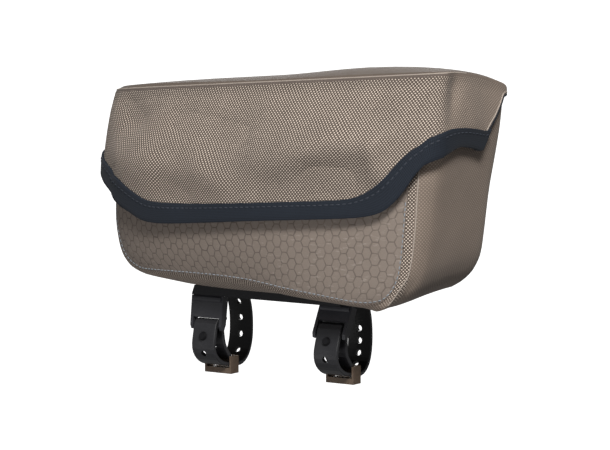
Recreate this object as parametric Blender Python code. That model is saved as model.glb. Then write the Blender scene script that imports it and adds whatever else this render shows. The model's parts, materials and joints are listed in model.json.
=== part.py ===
"""Top tube bag: a flap-top fabric bag on a base plate, held to the tube by two buckled rubber straps.

Frame: +X runs along the tube to the tall head end, -Y is the front that the flap closes over, +Z is
up. The origin is the centre of the base plate's underside, where the bag sits on the tube.
"""

import math
from collections import namedtuple

import bmesh
import bpy
from mathutils import Matrix, Vector

# Clearances and walls, in metres
GAP = 0.0003
BODY_WALL = 0.0016
FLAP_WALL = 0.0014
PANEL_WALL = 0.0008
TAPE_WALL = 0.0009
TAPE_GAP = 0.0005

# Body: distances from the origin at the height where the bag is fullest
MIDDLE = 0.015
BODY_TAIL = 0.1022
BODY_HEAD = 0.1065
BODY_FRONT = 0.040
BODY_BACK = 0.0368
RIM_CLEARANCE = 0.005

# Lid: the seam along its front edge, and how the top crowns and falls toward the back
SEAM_HEIGHT = 0.1152
SEAM_RISE = 0.075
TAIL_CROWN = 0.0036
HEAD_CROWN = 0.0058
BACK_FALL = 0.0115
CROWN_REACH = 0.060
CROWN_END = 4

# Flap: how far it stands off the body's distances, and how far its front hangs below the seam
FLAP_TAIL = BODY_TAIL + 0.0074
FLAP_HEAD = BODY_HEAD + 0.0100
FLAP_FRONT = BODY_FRONT + 0.0070
FLAP_BACK = BODY_BACK + 0.0057
FLAP_DROP = 0.080
TAPE_WIDTH = 0.0087

# Base plate
PLATE_LENGTH = 0.095
PLATE_WIDTH = 0.034
PLATE_THICKNESS = 0.005
PLATE_TAPER = 0.0018

# Straps and buckles
STRAP_SPACING = PLATE_LENGTH - 0.017
STRAP_WIDTH = 0.0144
STRAP_THICKNESS = 0.0022
STRAP_DEPTH = 0.0355
STRAP_DROP = {"tail": 0.0400, "head": 0.0392}
HOLE_DIAMETER = 0.0034
FRONT_HOLE_PITCH = 0.0090
BUCKLE_WIDTH = 0.0203
BUCKLE_HEIGHT = 0.0184
BUCKLE_DEPTH = 0.0048
BUCKLE_FRONT = 0.0010
CROSS_PLATE = 0.0016
CROSS_PLATE_TOP = 0.0012
LIP_DEPTH = 0.0007
LIP_DROP = 0.00045
RAIL_WIDTH = 0.0018
RAIL_TOP = 0.0016
BARREL_RADIUS = 0.0020
BAR_RADIUS = 0.0013
BAR_SETBACK = 0.0019
BAR_DOWN = {"tail": 0.0140, "head": 0.0112}
STUD_DIAMETER = 0.0048
STUD_TOP_DIAMETER = 0.0036
STUD_HEIGHT = 0.0012
KEEPER_WIDTH = 0.0172
KEEPER_LENGTH = 0.0070
KEEPER_BACK = 0.0019
KEEPER_HEIGHT = 0.0094
KEEPER_WALL = 0.0011
KEEPER_FLOOR = 0.0031
KEEPER_SPARE = 0.0007

# Corner exponents of the plan outlines, 2 for an ellipse and more for a squarer corner, and the
# share of its depth by which a side bows in toward its ends
BACK_CORNER = 14.0
TAIL_BOW = 0.35
BACK_BOW = 0.06

Plan = namedtuple("Plan", "tail head front back tail_corner head_corner head_bow")

# Body sections from the bottom edge to the rim: the level is a share of the height, the next four
# columns are shares of the body's distances
BodySection = namedtuple("BodySection", "level tail head front back head_corner")
BODY_SECTIONS = (
    BodySection(0.000, 0.75, 0.845, 0.900, 0.80, 5.0),
    BodySection(0.015, 0.81, 0.885, 0.955, 0.87, 6.0),
    BodySection(0.042, 0.870, 0.925, 0.983, 0.92, 7.0),
    BodySection(0.070, 0.910, 0.948, 0.992, 0.95, 8.0),
    BodySection(0.130, 0.955, 0.975, 0.998, 0.985, 9.0),
    BodySection(0.210, 0.982, 0.989, 1.000, 0.995, 9.0),
    BodySection(0.330, 1.000, 1.003, 1.000, 1.000, 8.5),
    BodySection(0.500, 1.000, 1.018, 0.960, 1.035, 7.5),
    BodySection(0.680, 0.990, 1.040, 0.860, 1.090, 6.0),
    BodySection(0.840, 0.975, 1.059, 0.730, 1.125, 6.0),
    BodySection(1.000, 0.945, 1.070, 0.600, 1.155, 6.0),
)
BODY_TAIL_CORNER = 4.0
BODY_HEAD_BOW = 0.22
FLOOR_SHARES = (0.62, 0.66, 0.60, 0.64)
INNER_LEVELS = (1.0, 0.68, 0.33, 0.13, 0.042, 0.0)

# Dents and swells of soft walls: centre and reach round the plan in turns and down the wall as a level
# or a drop, and how far the wall stands out as a share of the front's distance, below zero for a dent
Dent = namedtuple("Dent", "turn down turn_reach down_reach out")
BODY_DENTS = (Dent(0.225, -0.02, 0.060, 0.15, -0.10),)

# Height of the front's bottom edge along the body's length, and its further rise toward the back, both
# as shares of BOTTOM_LIFT
BOTTOM_LIFT = 0.010
BottomRow = namedtuple("BottomRow", "along height back_rise")
BOTTOM_EDGE = (
    BottomRow(-1.0, 0.48, 0.10),
    BottomRow(-0.7, 0.72, 0.12),
    BottomRow(-0.35, 0.84, 0.16),
    BottomRow(0.0, 0.80, 0.25),
    BottomRow(0.25, 0.54, 0.40),
    BottomRow(0.5, 0.31, 0.55),
    BottomRow(0.75, 0.02, 0.73),
    BottomRow(0.85, 0.21, 0.77),
    BottomRow(1.0, 0.70, 0.80),
)

# Flap sections by how far they hang below the lid's edge, as a share of FLAP_DROP
FlapSection = namedtuple("FlapSection", "drop tail head front back tail_corner head_corner head_bow")
FLAP_SECTIONS = (
    FlapSection(0.0, 0.955, 1.000, 0.600, 1.0, 4.0, 14.0, 0.02),
    FlapSection(0.2, 0.985, 0.998, 0.742, 1.0, 4.0, 10.0, 0.13),
    FlapSection(0.5, 1.000, 0.985, 0.925, 1.0, 4.0, 8.0, 0.24),
    FlapSection(1.0, 1.000, 0.980, 0.995, 1.0, 4.0, 8.0, 0.24),
)
LID_RINGS = (0.94, 0.80, 0.55, 0.25)
FLAP_DENTS = (
    Dent(0.290, 0.42, 0.026, 0.15, 0.100),
    Dent(0.165, 0.55, 0.028, 0.14, 0.055),
    Dent(0.150, 0.24, 0.028, 0.12, -0.030),
    Dent(0.224, 0.42, 0.020, 0.14, -0.050),
    Dent(0.434, 0.15, 0.020, 0.13, -0.035),
)

# Lower edge of the flap: the turn goes round the plan from the tail end by the front, the drop is a
# share of FLAP_DROP below the lid's edge
EdgeRow = namedtuple("EdgeRow", "turn drop")
FLAP_EDGE = (
    EdgeRow(-0.137, 0.05),
    EdgeRow(-0.090, 0.09),
    EdgeRow(-0.066, 0.17),
    EdgeRow(-0.054, 0.25),
    EdgeRow(-0.036, 0.38),
    EdgeRow(-0.026, 0.47),
    EdgeRow(0.000, 0.49),
    EdgeRow(0.040, 0.51),
    EdgeRow(0.065, 0.56),
    EdgeRow(0.120, 0.69),
    EdgeRow(0.160, 0.80),
    EdgeRow(0.176, 0.86),
    EdgeRow(0.190, 0.88),
    EdgeRow(0.250, 0.87),
    EdgeRow(0.310, 0.87),
    EdgeRow(0.325, 0.86),
    EdgeRow(0.335, 0.83),
    EdgeRow(0.346, 0.75),
    EdgeRow(0.363, 0.61),
    EdgeRow(0.390, 0.55),
    EdgeRow(0.415, 0.52),
    EdgeRow(0.465, 0.46),
    EdgeRow(0.510, 0.46),
    EdgeRow(0.533, 0.46),
    EdgeRow(0.543, 0.38),
    EdgeRow(0.553, 0.32),
    EdgeRow(0.566, 0.25),
    EdgeRow(0.578, 0.17),
    EdgeRow(0.590, 0.09),
    EdgeRow(0.637, 0.05),
)

EdgePlace = namedtuple("EdgePlace", "travelled turn height")
# The tape's eight corners close at its ends as an outer leg, a fold and an inner leg
TAPE_END_FACES = ((0, 1, 6, 7), (1, 2, 5, 6), (2, 3, 4, 5))

# Stretches of the flap's edge that each tape covers, as turns round the plan
TAPE_SPANS = {"flap_binding": (-0.026, 0.415), "wing_binding": (0.415, 0.533)}

# Side rail of a buckle, from its top: places forward and down as shares of its depth and height
RailCorner = namedtuple("RailCorner", "forward down")
RAIL_PROFILE = (
    RailCorner(0.00, 0.00),
    RailCorner(1.00, 0.00),
    RailCorner(1.00, 0.88),
    RailCorner(0.75, 1.00),
    RailCorner(0.40, 1.00),
    RailCorner(0.12, 0.82),
)

# Strap runs: places across the loop as shares of STRAP_DEPTH, and down it as shares of STRAP_DROP
RunRow = namedtuple("RunRow", "across down")
BACK_RUN = (
    RunRow(0.360, 0.05),
    RunRow(0.410, 0.14),
    RunRow(0.455, 0.30),
    RunRow(0.468, 0.50),
    RunRow(0.448, 0.675),
    RunRow(0.380, 0.83),
    RunRow(0.259, 0.93),
    RunRow(0.118, 0.958),
    RunRow(0.017, 0.922),
    RunRow(-0.085, 0.848),
    RunRow(-0.175, 0.755),
    RunRow(-0.248, 0.638),
)
FRONT_RUN = (
    RunRow(-0.487, 0.563),
    RunRow(-0.504, 0.665),
    RunRow(-0.480, 0.762),
    RunRow(-0.398, 0.848),
    RunRow(-0.272, 0.912),
    RunRow(-0.118, 0.940),
)
STRAP_STEP = 0.0022
BACK_SHARE = {"tail": 1.0, "head": 0.87}
HINGE_ACROSS = {"tail": -0.0136, "head": -0.0083}
BUCKLE_LEAN = {"tail": 6.0, "head": 26.0}
BACK_HOLES = {"tail": (0.0063, 0.0091), "head": (0.0151, 0.0066)}
BACK_HOLE_COUNT = 4
INNER_HOLE_FROM_BAR = {"tail": 0.0133, "head": 0.0155}
STUD_DOWN = {"tail": 0.0225, "head": 0.0187}

# Mesh resolution
BODY_COLUMNS = 64
PANEL_COLUMNS = (6, 23)
EDGE_STEPS = 400
TAPE_STEP = 0.0026
ROUND_SIDES = 12
STUD_SIDES = 16
SLIVER = 0.00004


def clear_scene():
    for obj in list(bpy.data.objects):
        bpy.data.objects.remove(obj, do_unlink=True)


def smooth_value(rows, place, column):
    """Value of a table's column at a place along its first column, by a smooth curve through the rows."""
    places = [row[0] for row in rows]
    values = [getattr(row, column) for row in rows]
    place = min(max(place, places[0]), places[-1])
    index = max(i for i in range(len(places) - 1) if places[i] <= place)
    span = places[index + 1] - places[index]
    share = (place - places[index]) / span
    slopes = []
    for i in (index, index + 1):
        low, high = max(i - 1, 0), min(i + 1, len(places) - 1)
        slopes.append((values[high] - values[low]) / (places[high] - places[low]) * span)
    square, cube = share**2, share**3
    return (
        (2 * cube - 3 * square + 1) * values[index]
        + (cube - 2 * square + share) * slopes[0]
        + (3 * square - 2 * cube) * values[index + 1]
        + (cube - square) * slopes[1]
    )


def plan_point(turn, plan):
    """Point of a plan outline: turn 0 is the tail end, 0.25 the front, 0.5 the head end, 0.75 the back."""
    quarter = math.floor(turn * 4)
    lean = 2 * (turn * 4 - quarter) - 1
    angle = math.pi / 4 * (1 + math.copysign(abs(lean) ** 1.5, lean))
    along, across = math.cos(angle + quarter * math.pi / 2), math.sin(angle + quarter * math.pi / 2)
    along, across = -along, -across
    to_head, to_back = along > 0, across > 0
    corner = BACK_CORNER if to_back else (plan.head_corner if to_head else plan.tail_corner)
    reach = (abs(along) ** corner + abs(across) ** corner) ** (-1 / corner)
    along, across = along * reach, across * reach
    bow = BACK_BOW if to_back else (plan.head_bow if to_head else TAIL_BOW)
    length = plan.head - MIDDLE if to_head else plan.tail + MIDDLE
    depth = plan.back if to_back else plan.front
    return Vector((MIDDLE + along * length, across * depth * (1 - bow * along**2), 0))


def dent_out(dents, turn, down):
    """How far a wall stands out here, as a share of the front's distance."""
    total = 0.0
    for dent in dents:
        apart = ((turn - dent.turn) / dent.turn_reach) ** 2 + ((down - dent.down) / dent.down_reach) ** 2
        total += dent.out * math.exp(-apart)
    return total


def body_plan(level, inset=0.0):
    def column(name):
        return smooth_value(BODY_SECTIONS, level, name)

    return Plan(
        BODY_TAIL * column("tail") - inset,
        BODY_HEAD * column("head") - inset,
        BODY_FRONT * column("front") - inset,
        BODY_BACK * column("back") - inset,
        BODY_TAIL_CORNER,
        column("head_corner"),
        BODY_HEAD_BOW,
    )


def flap_plan(drop, inset=0.0):
    def column(name):
        return smooth_value(FLAP_SECTIONS, drop, name)

    return Plan(
        FLAP_TAIL * column("tail") - inset,
        FLAP_HEAD * column("head") - inset,
        FLAP_FRONT * column("front") - inset,
        FLAP_BACK * column("back") - inset,
        column("tail_corner"),
        column("head_corner"),
        column("head_bow"),
    )


def lid_edge_height(x, y):
    """Height of the lid's edge, which falls toward the back."""
    front = -FLAP_FRONT * FLAP_SECTIONS[0].front
    toward_back = (y - front) / (FLAP_BACK - front)
    return SEAM_HEIGHT + SEAM_RISE * x - BACK_FALL * max(toward_back, 0.0) ** 2


def lid_height(x, y):
    """Height of the lid's crowned top."""
    front = -FLAP_FRONT * FLAP_SECTIONS[0].front
    across = 2 * (y - front) / (FLAP_BACK - front) - 1
    along = (x - MIDDLE) / (FLAP_HEAD - MIDDLE if x > MIDDLE else FLAP_TAIL + MIDDLE)
    swell = min(max(x / CROWN_REACH, 0.0), 1.0)
    crown = TAIL_CROWN + (HEAD_CROWN - TAIL_CROWN) * swell**2 * (3 - 2 * swell)
    crown *= max(1 - abs(along) ** CROWN_END, 0.0) * max(1 - across**2, 0.0)
    return lid_edge_height(x, y) + crown


def bottom_height(x, y):
    length = BODY_HEAD if x > 0 else BODY_TAIL
    from_back = min((BODY_BACK - y) / (BODY_FRONT + BODY_BACK), 1.0)
    front = smooth_value(BOTTOM_EDGE, x / length, "height")
    rise = smooth_value(BOTTOM_EDGE, x / length, "back_rise")
    return BOTTOM_LIFT * (front + rise * (1 - from_back**2))


def body_point(turn, level, inset=0.0):
    dented = inset - BODY_FRONT * dent_out(BODY_DENTS, turn, level)
    point = plan_point(turn, body_plan(level, dented))
    low = bottom_height(point.x, point.y) + inset * (1 - level) ** 4
    high = lid_edge_height(point.x, point.y) - FLAP_WALL - RIM_CLEARANCE
    point.z = low + level * (high - low)
    return point


def body_normal(turn, level):
    step = 0.002
    round_body = body_point(turn + step, level) - body_point(turn - step, level)
    upward = body_point(turn, min(level + step, 1)) - body_point(turn, max(level - step, 0))
    return round_body.cross(upward).normalized()


def flap_point(turn, drop, outset=0.0):
    """Point of the flap's hanging face, this share of FLAP_DROP below the lid's edge."""
    edge = plan_point(turn, flap_plan(0.0))
    dented = -outset - FLAP_FRONT * dent_out(FLAP_DENTS, turn, drop)
    point = plan_point(turn, flap_plan(drop, dented))
    point.z = lid_edge_height(edge.x, edge.y) - drop * FLAP_DROP
    return point


def flap_edge_drop(turn):
    """Share of FLAP_DROP at the flap's lower edge. Between the wings the edge is the lip at the back."""
    turn = (turn + 0.25) % 1.0 - 0.25
    if turn > FLAP_EDGE[-1].turn:
        return FLAP_EDGE[-1].drop
    if turn < FLAP_EDGE[0].turn:
        return FLAP_EDGE[0].drop
    return smooth_value(FLAP_EDGE, turn, "drop")


def turns(count):
    return [index / count for index in range(count)]


def new_object(name, mesh_builder, material):
    mesh = bpy.data.meshes.new(name)
    mesh_builder.to_mesh(mesh)
    mesh_builder.free()
    return place_object(name, mesh, material)


def place_object(name, mesh, material):
    mesh.materials.clear()
    mesh.materials.append(material)
    mesh.shade_smooth()
    mesh.set_sharp_from_angle(angle=math.radians(35))
    obj = bpy.data.objects.new(name, mesh)
    bpy.context.scene.collection.objects.link(obj)
    return obj


def loft(rings, end_faces=None):
    """Skin through rings of points, closed at both ends by one face or by faces of these corners."""
    builder = bmesh.new()
    rows = [[builder.verts.new(point) for point in ring] for ring in rings]
    count = len(rows[0])
    for lower, upper in zip(rows, rows[1:]):
        for i in range(count):
            j = (i + 1) % count
            builder.faces.new((lower[i], lower[j], upper[j]))
            builder.faces.new((lower[i], upper[j], upper[i]))
    for corners in end_faces or (range(count),):
        builder.faces.new([rows[0][corner] for corner in reversed(corners)])
        builder.faces.new([rows[-1][corner] for corner in corners])
    bmesh.ops.triangulate(builder, faces=builder.faces[:])
    bmesh.ops.recalc_face_normals(builder, faces=builder.faces[:])
    return builder


def box(low, high):
    builder = bmesh.new()
    centre = (Vector(low) + Vector(high)) / 2
    size = Vector(high) - Vector(low)
    bmesh.ops.create_cube(builder, size=1, matrix=Matrix.Translation(centre) @ Matrix.Diagonal((*size, 1)))
    return builder


def cylinder(start, end, radius, sides=ROUND_SIDES, end_radius=None):
    """Solid round bar from one point to another, or a cone frustum with an end radius."""
    axis = Vector(end) - Vector(start)
    turn = Vector((0, 0, 1)).rotation_difference(axis).to_matrix().to_4x4()
    builder = bmesh.new()
    bmesh.ops.create_cone(
        builder,
        cap_ends=True,
        segments=sides,
        radius1=radius,
        radius2=radius if end_radius is None else end_radius,
        depth=axis.length,
        matrix=Matrix.Translation((Vector(start) + Vector(end)) / 2) @ turn,
    )
    return builder


def combined_mesh(name, first, others, operation):
    """Mesh of the first builder after a Boolean operation with each of the others."""
    cutters = []
    for index, builder in enumerate([first, *others]):
        mesh = bpy.data.meshes.new(f"{name}_tool_{index}")
        builder.to_mesh(mesh)
        builder.free()
        tool = bpy.data.objects.new(f"{name}_tool_{index}", mesh)
        tool.hide_render = True
        tool.display_type = "WIRE"
        bpy.context.scene.collection.objects.link(tool)
        cutters.append(tool)
    base = cutters[0]
    for tool in cutters[1:]:
        modifier = base.modifiers.new(tool.name, "BOOLEAN")
        modifier.operation = operation
        modifier.object = tool
    evaluated = base.evaluated_get(bpy.context.evaluated_depsgraph_get())
    result = bpy.data.meshes.new_from_object(evaluated)
    for tool in cutters:
        bpy.data.objects.remove(tool, do_unlink=True)
    result.name = name
    cleaner = bmesh.new()
    cleaner.from_mesh(result)
    bmesh.ops.triangulate(cleaner, faces=cleaner.faces[:])
    bmesh.ops.remove_doubles(cleaner, verts=cleaner.verts[:], dist=SLIVER)
    bmesh.ops.dissolve_degenerate(cleaner, dist=SLIVER, edges=cleaner.edges[:])
    bmesh.ops.triangulate(cleaner, faces=cleaner.faces[:])
    cleaner.to_mesh(result)
    cleaner.free()
    return result


def linear(channel):
    channel /= 255
    return channel / 12.92 if channel <= 0.04045 else ((channel + 0.055) / 1.055) ** 2.4


def make_material(name, colour, roughness):
    material = bpy.data.materials.new(name)
    material.use_nodes = True
    shader = material.node_tree.nodes["Principled BSDF"]
    shader.inputs["Base Color"].default_value = (*[linear(channel) for channel in colour], 1)
    shader.inputs["Roughness"].default_value = roughness
    shader.inputs["Metallic"].default_value = 0.0
    return material


def make_bag_body(material):
    """Hollow pouch with a flat floor on the base plate and an open mouth under the flap."""
    places = turns(BODY_COLUMNS)

    def floor_ring(inset):
        tail, head, front, back = FLOOR_SHARES
        plan = Plan(
            BODY_TAIL * tail - inset,
            BODY_HEAD * head - inset,
            BODY_FRONT * front - inset,
            BODY_BACK * back - inset,
            BODY_TAIL_CORNER,
            BODY_SECTIONS[0].head_corner,
            BODY_HEAD_BOW,
        )
        lift = Vector((0, 0, PLATE_THICKNESS + GAP + inset))
        return [plan_point(turn, plan) + lift for turn in places]

    outer = [[body_point(turn, row.level) for turn in places] for row in BODY_SECTIONS]
    inner = [[body_point(turn, level, BODY_WALL) for turn in places] for level in INNER_LEVELS]
    rings = [floor_ring(0.0), *outer, *inner, floor_ring(BODY_WALL)]
    return new_object("bag_body", loft(rings), material)


def make_front_panel(material):
    """Patterned patch on the body's front, on the body's own columns so that it lies close all over."""
    first, last = PANEL_COLUMNS
    levels = [row.level for row in BODY_SECTIONS if 0.03 <= row.level <= 0.7]
    columns = []
    for index in range(first, last + 1):
        turn = index / BODY_COLUMNS
        column = []
        for offset, ordered in ((GAP, levels), (GAP + PANEL_WALL, levels[::-1])):
            for level in ordered:
                column.append(body_point(turn, level) + body_normal(turn, level) * offset)
        columns.append(column)
    return new_object("front_panel", loft(columns), material)


def make_flap(material):
    """Lid with a crowned top, a long front, a wing at each end and a lip down the back."""
    places = turns(BODY_COLUMNS)
    hang = (0.0, 0.16, 0.32, 0.48, 0.64, 0.78, 0.89, 1.0)

    def lid_ring(share, lower):
        edge = [plan_point(turn, flap_plan(0.0, lower)) for turn in places]
        centre = Vector((MIDDLE, (FLAP_BACK - FLAP_FRONT * FLAP_SECTIONS[0].front) / 2, 0))
        ring = [centre + (point - centre) * share for point in edge]
        return [Vector((point.x, point.y, lid_height(point.x, point.y) - lower)) for point in ring]

    def hanging_ring(share, inset):
        ring = []
        for turn in places:
            top = FLAP_WALL / FLAP_DROP if inset else 0.0
            bottom = flap_edge_drop(turn)
            ring.append(flap_point(turn, top + share * (bottom - top), -inset))
        return ring

    outside = [lid_ring(share, 0.0) for share in LID_RINGS[::-1]]
    outside += [hanging_ring(share, 0.0) for share in hang]
    inside = [hanging_ring(share, FLAP_WALL) for share in hang[::-1]]
    inside += [lid_ring(share, FLAP_WALL) for share in LID_RINGS]
    return new_object("flap", loft(outside + inside), material)


def edge_places(first, last):
    """Places closely spaced along the flap's edge, with the level distance travelled to each."""
    places = []
    travelled, before = 0.0, None
    for index in range(EDGE_STEPS + 1):
        turn = first + (last - first) * index / EDGE_STEPS
        point = flap_point(turn, flap_edge_drop(turn))
        if before is not None:
            travelled += math.hypot(point.x - before.x, point.y - before.y)
        places.append(EdgePlace(travelled, turn, point.z))
        before = point
    return places


def make_binding(name, material):
    """Tape folded over the flap's lower edge, open toward the flap and everywhere square to the edge."""
    places = edge_places(*TAPE_SPANS[name])
    length = places[-1].travelled
    start = GAP if name == "wing_binding" else 0.0
    count = round(length / TAPE_STEP)
    outside = TAPE_GAP + TAPE_WALL
    inside = -(FLAP_WALL + TAPE_GAP)
    below = TAPE_GAP / FLAP_DROP
    under = outside / FLAP_DROP
    rings = []
    for index in range(count + 1):
        travelled = start + (length - start) * index / count
        turn = smooth_value(places, travelled, "turn")
        edge = flap_edge_drop(turn)
        ahead, behind = min(travelled + TAPE_WIDTH / 3, length), max(travelled - TAPE_WIDTH / 3, 0.0)
        rise = smooth_value(places, ahead, "height") - smooth_value(places, behind, "height")
        slant = math.atan2(rise, ahead - behind)
        top_travelled = min(max(travelled - TAPE_WIDTH * math.sin(slant), start), length)
        top_turn = smooth_value(places, top_travelled, "turn")
        top_height = smooth_value(places, travelled, "height") + TAPE_WIDTH * math.cos(slant)
        top = (flap_point(top_turn, 0.0).z - top_height) / FLAP_DROP
        corners = (
            (outside, top_turn, top),
            (outside, turn, edge + under),
            (inside - TAPE_WALL, turn, edge + under),
            (inside - TAPE_WALL, top_turn, top),
            (inside, top_turn, top),
            (inside, turn, edge + below),
            (TAPE_GAP, turn, edge + below),
            (TAPE_GAP, top_turn, top),
        )
        rings.append([flap_point(at_turn, drop, outset) for outset, at_turn, drop in corners])
    return new_object(name, loft(rings, TAPE_END_FACES), material)


def make_base_plate(material):
    half, side = PLATE_LENGTH / 2, PLATE_WIDTH / 2
    profile = (
        (-half, 0),
        (half, 0),
        (half - PLATE_TAPER, PLATE_THICKNESS),
        (-half + PLATE_TAPER, PLATE_THICKNESS),
    )
    rings = [[Vector((x, y, z)) for x, z in profile] for y in (-side, side)]
    return new_object("base_plate", loft(rings), material)


def strap_middle(end):
    return STRAP_SPACING / 2 * (1 if end == "head" else -1)


def in_buckle(end, forward, down):
    """Place in a buckle, measured from its hinge along the leaning buckle, as across and height."""
    lean = math.radians(BUCKLE_LEAN[end])
    hinge_down = BARREL_RADIUS + GAP
    across = HINGE_ACROSS[end] - forward * math.cos(lean) - down * math.sin(lean)
    height = -hinge_down + forward * math.sin(lean) - down * math.cos(lean)
    return Vector((0, across, height))


def bar_place(end):
    """Centre of the bar that the strap turns over."""
    return in_buckle(end, -BAR_SETBACK, BAR_DOWN[end])


def strap_path(end):
    """Centre line of a strap: down the back, under the tube, up to the bar, over it and down again."""
    bar = bar_place(end)
    bend = BAR_RADIUS + GAP + STRAP_THICKNESS / 2

    def run_point(row):
        share = BACK_SHARE[end] if row.across > 0 else 1.0
        return Vector((0, row.across * share * STRAP_DEPTH, -row.down * STRAP_DROP[end]))

    points = [Vector((0, run_point(BACK_RUN[0]).y, -GAP))]
    points += [run_point(row) for row in BACK_RUN]
    for degrees in (0, 45, 90, 135, 180):
        angle = math.radians(degrees)
        points.append(bar + Vector((0, bend * math.cos(angle), bend * math.sin(angle))))
    points += [run_point(row) for row in FRONT_RUN]
    return points


def curve_through(points, step):
    """Evenly spaced points of a smooth curve through the points."""
    dense = []
    for i in range(len(points) - 1):
        before, after = points[max(i - 1, 0)], points[min(i + 2, len(points) - 1)]
        start, end = points[i], points[i + 1]
        for j in range(16):
            t = j / 16
            leave, arrive = (end - before) / 2, (after - start) / 2
            dense.append(
                start * (2 * t**3 - 3 * t**2 + 1)
                + leave * (t**3 - 2 * t**2 + t)
                + end * (3 * t**2 - 2 * t**3)
                + arrive * (t**3 - t**2)
            )
    dense.append(points[-1])
    lengths = [0.0]
    for a, b in zip(dense, dense[1:]):
        lengths.append(lengths[-1] + (b - a).length)
    count = max(round(lengths[-1] / step), 2)
    result = []
    for k in range(count + 1):
        target = lengths[-1] * k / count
        index = min(max(i for i, length in enumerate(lengths) if length <= target + 1e-9), len(dense) - 2)
        share = (target - lengths[index]) / (lengths[index + 1] - lengths[index])
        result.append(dense[index].lerp(dense[index + 1], share))
    return result


def path_normals(path):
    """Unit normals of a path in the YZ plane, pointing out of the loop on the back run."""
    normals = []
    for i in range(len(path)):
        run = path[min(i + 1, len(path) - 1)] - path[max(i - 1, 0)]
        normals.append(Vector((0, -run.z, run.y)).normalized())
    return normals


def place_along(path, distance):
    """Point and normal of a path at a distance from its start."""
    normals = path_normals(path)
    travelled = 0.0
    for i in range(len(path) - 1):
        step = (path[i + 1] - path[i]).length
        if travelled + step >= distance:
            share = (distance - travelled) / step
            return path[i].lerp(path[i + 1], share), normals[i].lerp(normals[i + 1], share).normalized()
        travelled += step
    return path[-1], normals[-1]


def distance_to(path, target):
    """Distance along a path to its point nearest a target."""
    nearest = min(range(len(path)), key=lambda i: (path[i] - target).length)
    return sum((path[i + 1] - path[i]).length for i in range(nearest))


def hole_distances(end, path):
    first, pitch = BACK_HOLES[end]
    holes = [first + pitch * index for index in range(BACK_HOLE_COUNT)]
    bend = BAR_RADIUS + GAP + STRAP_THICKNESS / 2
    bar = bar_place(end)
    holes.append(distance_to(path, bar + Vector((0, bend, 0))) - INNER_HOLE_FROM_BAR[end])
    stud = stud_distance(end, path)
    return holes + [stud, stud + FRONT_HOLE_PITCH]


def stud_distance(end, path):
    return distance_to(path, Vector((0, FRONT_RUN[0].across * STRAP_DEPTH, -STUD_DOWN[end])))


def make_strap(end, material):
    """Perforated rubber strap with chamfered edges."""
    path = curve_through(strap_path(end), STRAP_STEP)
    normals = path_normals(path)
    half, thick, chamfer = STRAP_WIDTH / 2, STRAP_THICKNESS / 2, STRAP_THICKNESS / 6
    middle = Vector((strap_middle(end), 0, 0))
    corners = (
        (-half, thick - chamfer),
        (-half, chamfer - thick),
        (chamfer - half, -thick),
        (half - chamfer, -thick),
        (half, chamfer - thick),
        (half, thick - chamfer),
        (half - chamfer, thick),
        (chamfer - half, thick),
    )
    rings = []
    for point, normal in zip(path, normals):
        rings.append([middle + point + Vector((x, 0, 0)) + normal * out for x, out in corners])
    cutters = []
    for distance in hole_distances(end, path):
        point, normal = place_along(path, distance)
        reach = normal * (thick + chamfer)
        start, stop = middle + point - reach, middle + point + reach
        cutters.append(cylinder(start, stop, HOLE_DIAMETER / 2))
    mesh = combined_mesh(f"strap_{end}", loft(rings), cutters, "DIFFERENCE")
    return place_object(f"strap_{end}", mesh, material)


def leaning_slab(end, width, profile):
    """Slab in a leaning buckle: its limits across the width, and its profile forward and down."""
    middle = strap_middle(end)
    rings = []
    for x in width:
        across = Vector((middle + x, 0, 0))
        rings.append([in_buckle(end, forward, down) + across for forward, down in profile])
    return loft(rings)


def make_buckle(end, material):
    """Two side rails joined by the hinge barrel, the bar that the strap turns over, and a cross plate
    whose hooked lower edge reaches back over the strap."""
    half = BUCKLE_WIDTH / 2
    inside = half - RAIL_WIDTH
    back = BUCKLE_FRONT - BUCKLE_DEPTH
    height = BUCKLE_HEIGHT - BARREL_RADIUS + RAIL_TOP
    rail = [(back + row.forward * BUCKLE_DEPTH, row.down * height - RAIL_TOP) for row in RAIL_PROFILE]
    plate_bottom = BAR_DOWN[end] - BAR_RADIUS - STRAP_THICKNESS - 2 * GAP
    plate = [
        (BUCKLE_FRONT - CROSS_PLATE, CROSS_PLATE_TOP),
        (BUCKLE_FRONT, CROSS_PLATE_TOP),
        (BUCKLE_FRONT, plate_bottom),
        (back, plate_bottom),
        (back, plate_bottom + LIP_DROP),
        (back - LIP_DEPTH, plate_bottom + LIP_DROP),
        (back - LIP_DEPTH, plate_bottom - CROSS_PLATE / 2),
        (BUCKLE_FRONT - CROSS_PLATE, plate_bottom - CROSS_PLATE),
    ]
    middle = Vector((strap_middle(end), 0, 0))
    barrel, bar = middle + in_buckle(end, 0.0, 0.0), middle + bar_place(end)
    plate_reach = half - RAIL_WIDTH / 4
    barrel_reach = Vector((half - RAIL_WIDTH / 2, 0, 0))
    bar_reach = Vector((half - RAIL_WIDTH / 3, 0, 0))
    parts = [
        leaning_slab(end, (inside, half), rail),
        leaning_slab(end, (-plate_reach, plate_reach), plate),
        cylinder(barrel - barrel_reach, barrel + barrel_reach, BARREL_RADIUS),
        cylinder(bar - bar_reach, bar + bar_reach, BAR_RADIUS),
    ]
    mesh = combined_mesh(f"buckle_{end}", leaning_slab(end, (-half, -inside), rail), parts, "UNION")
    return place_object(f"buckle_{end}", mesh, material)


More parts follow.
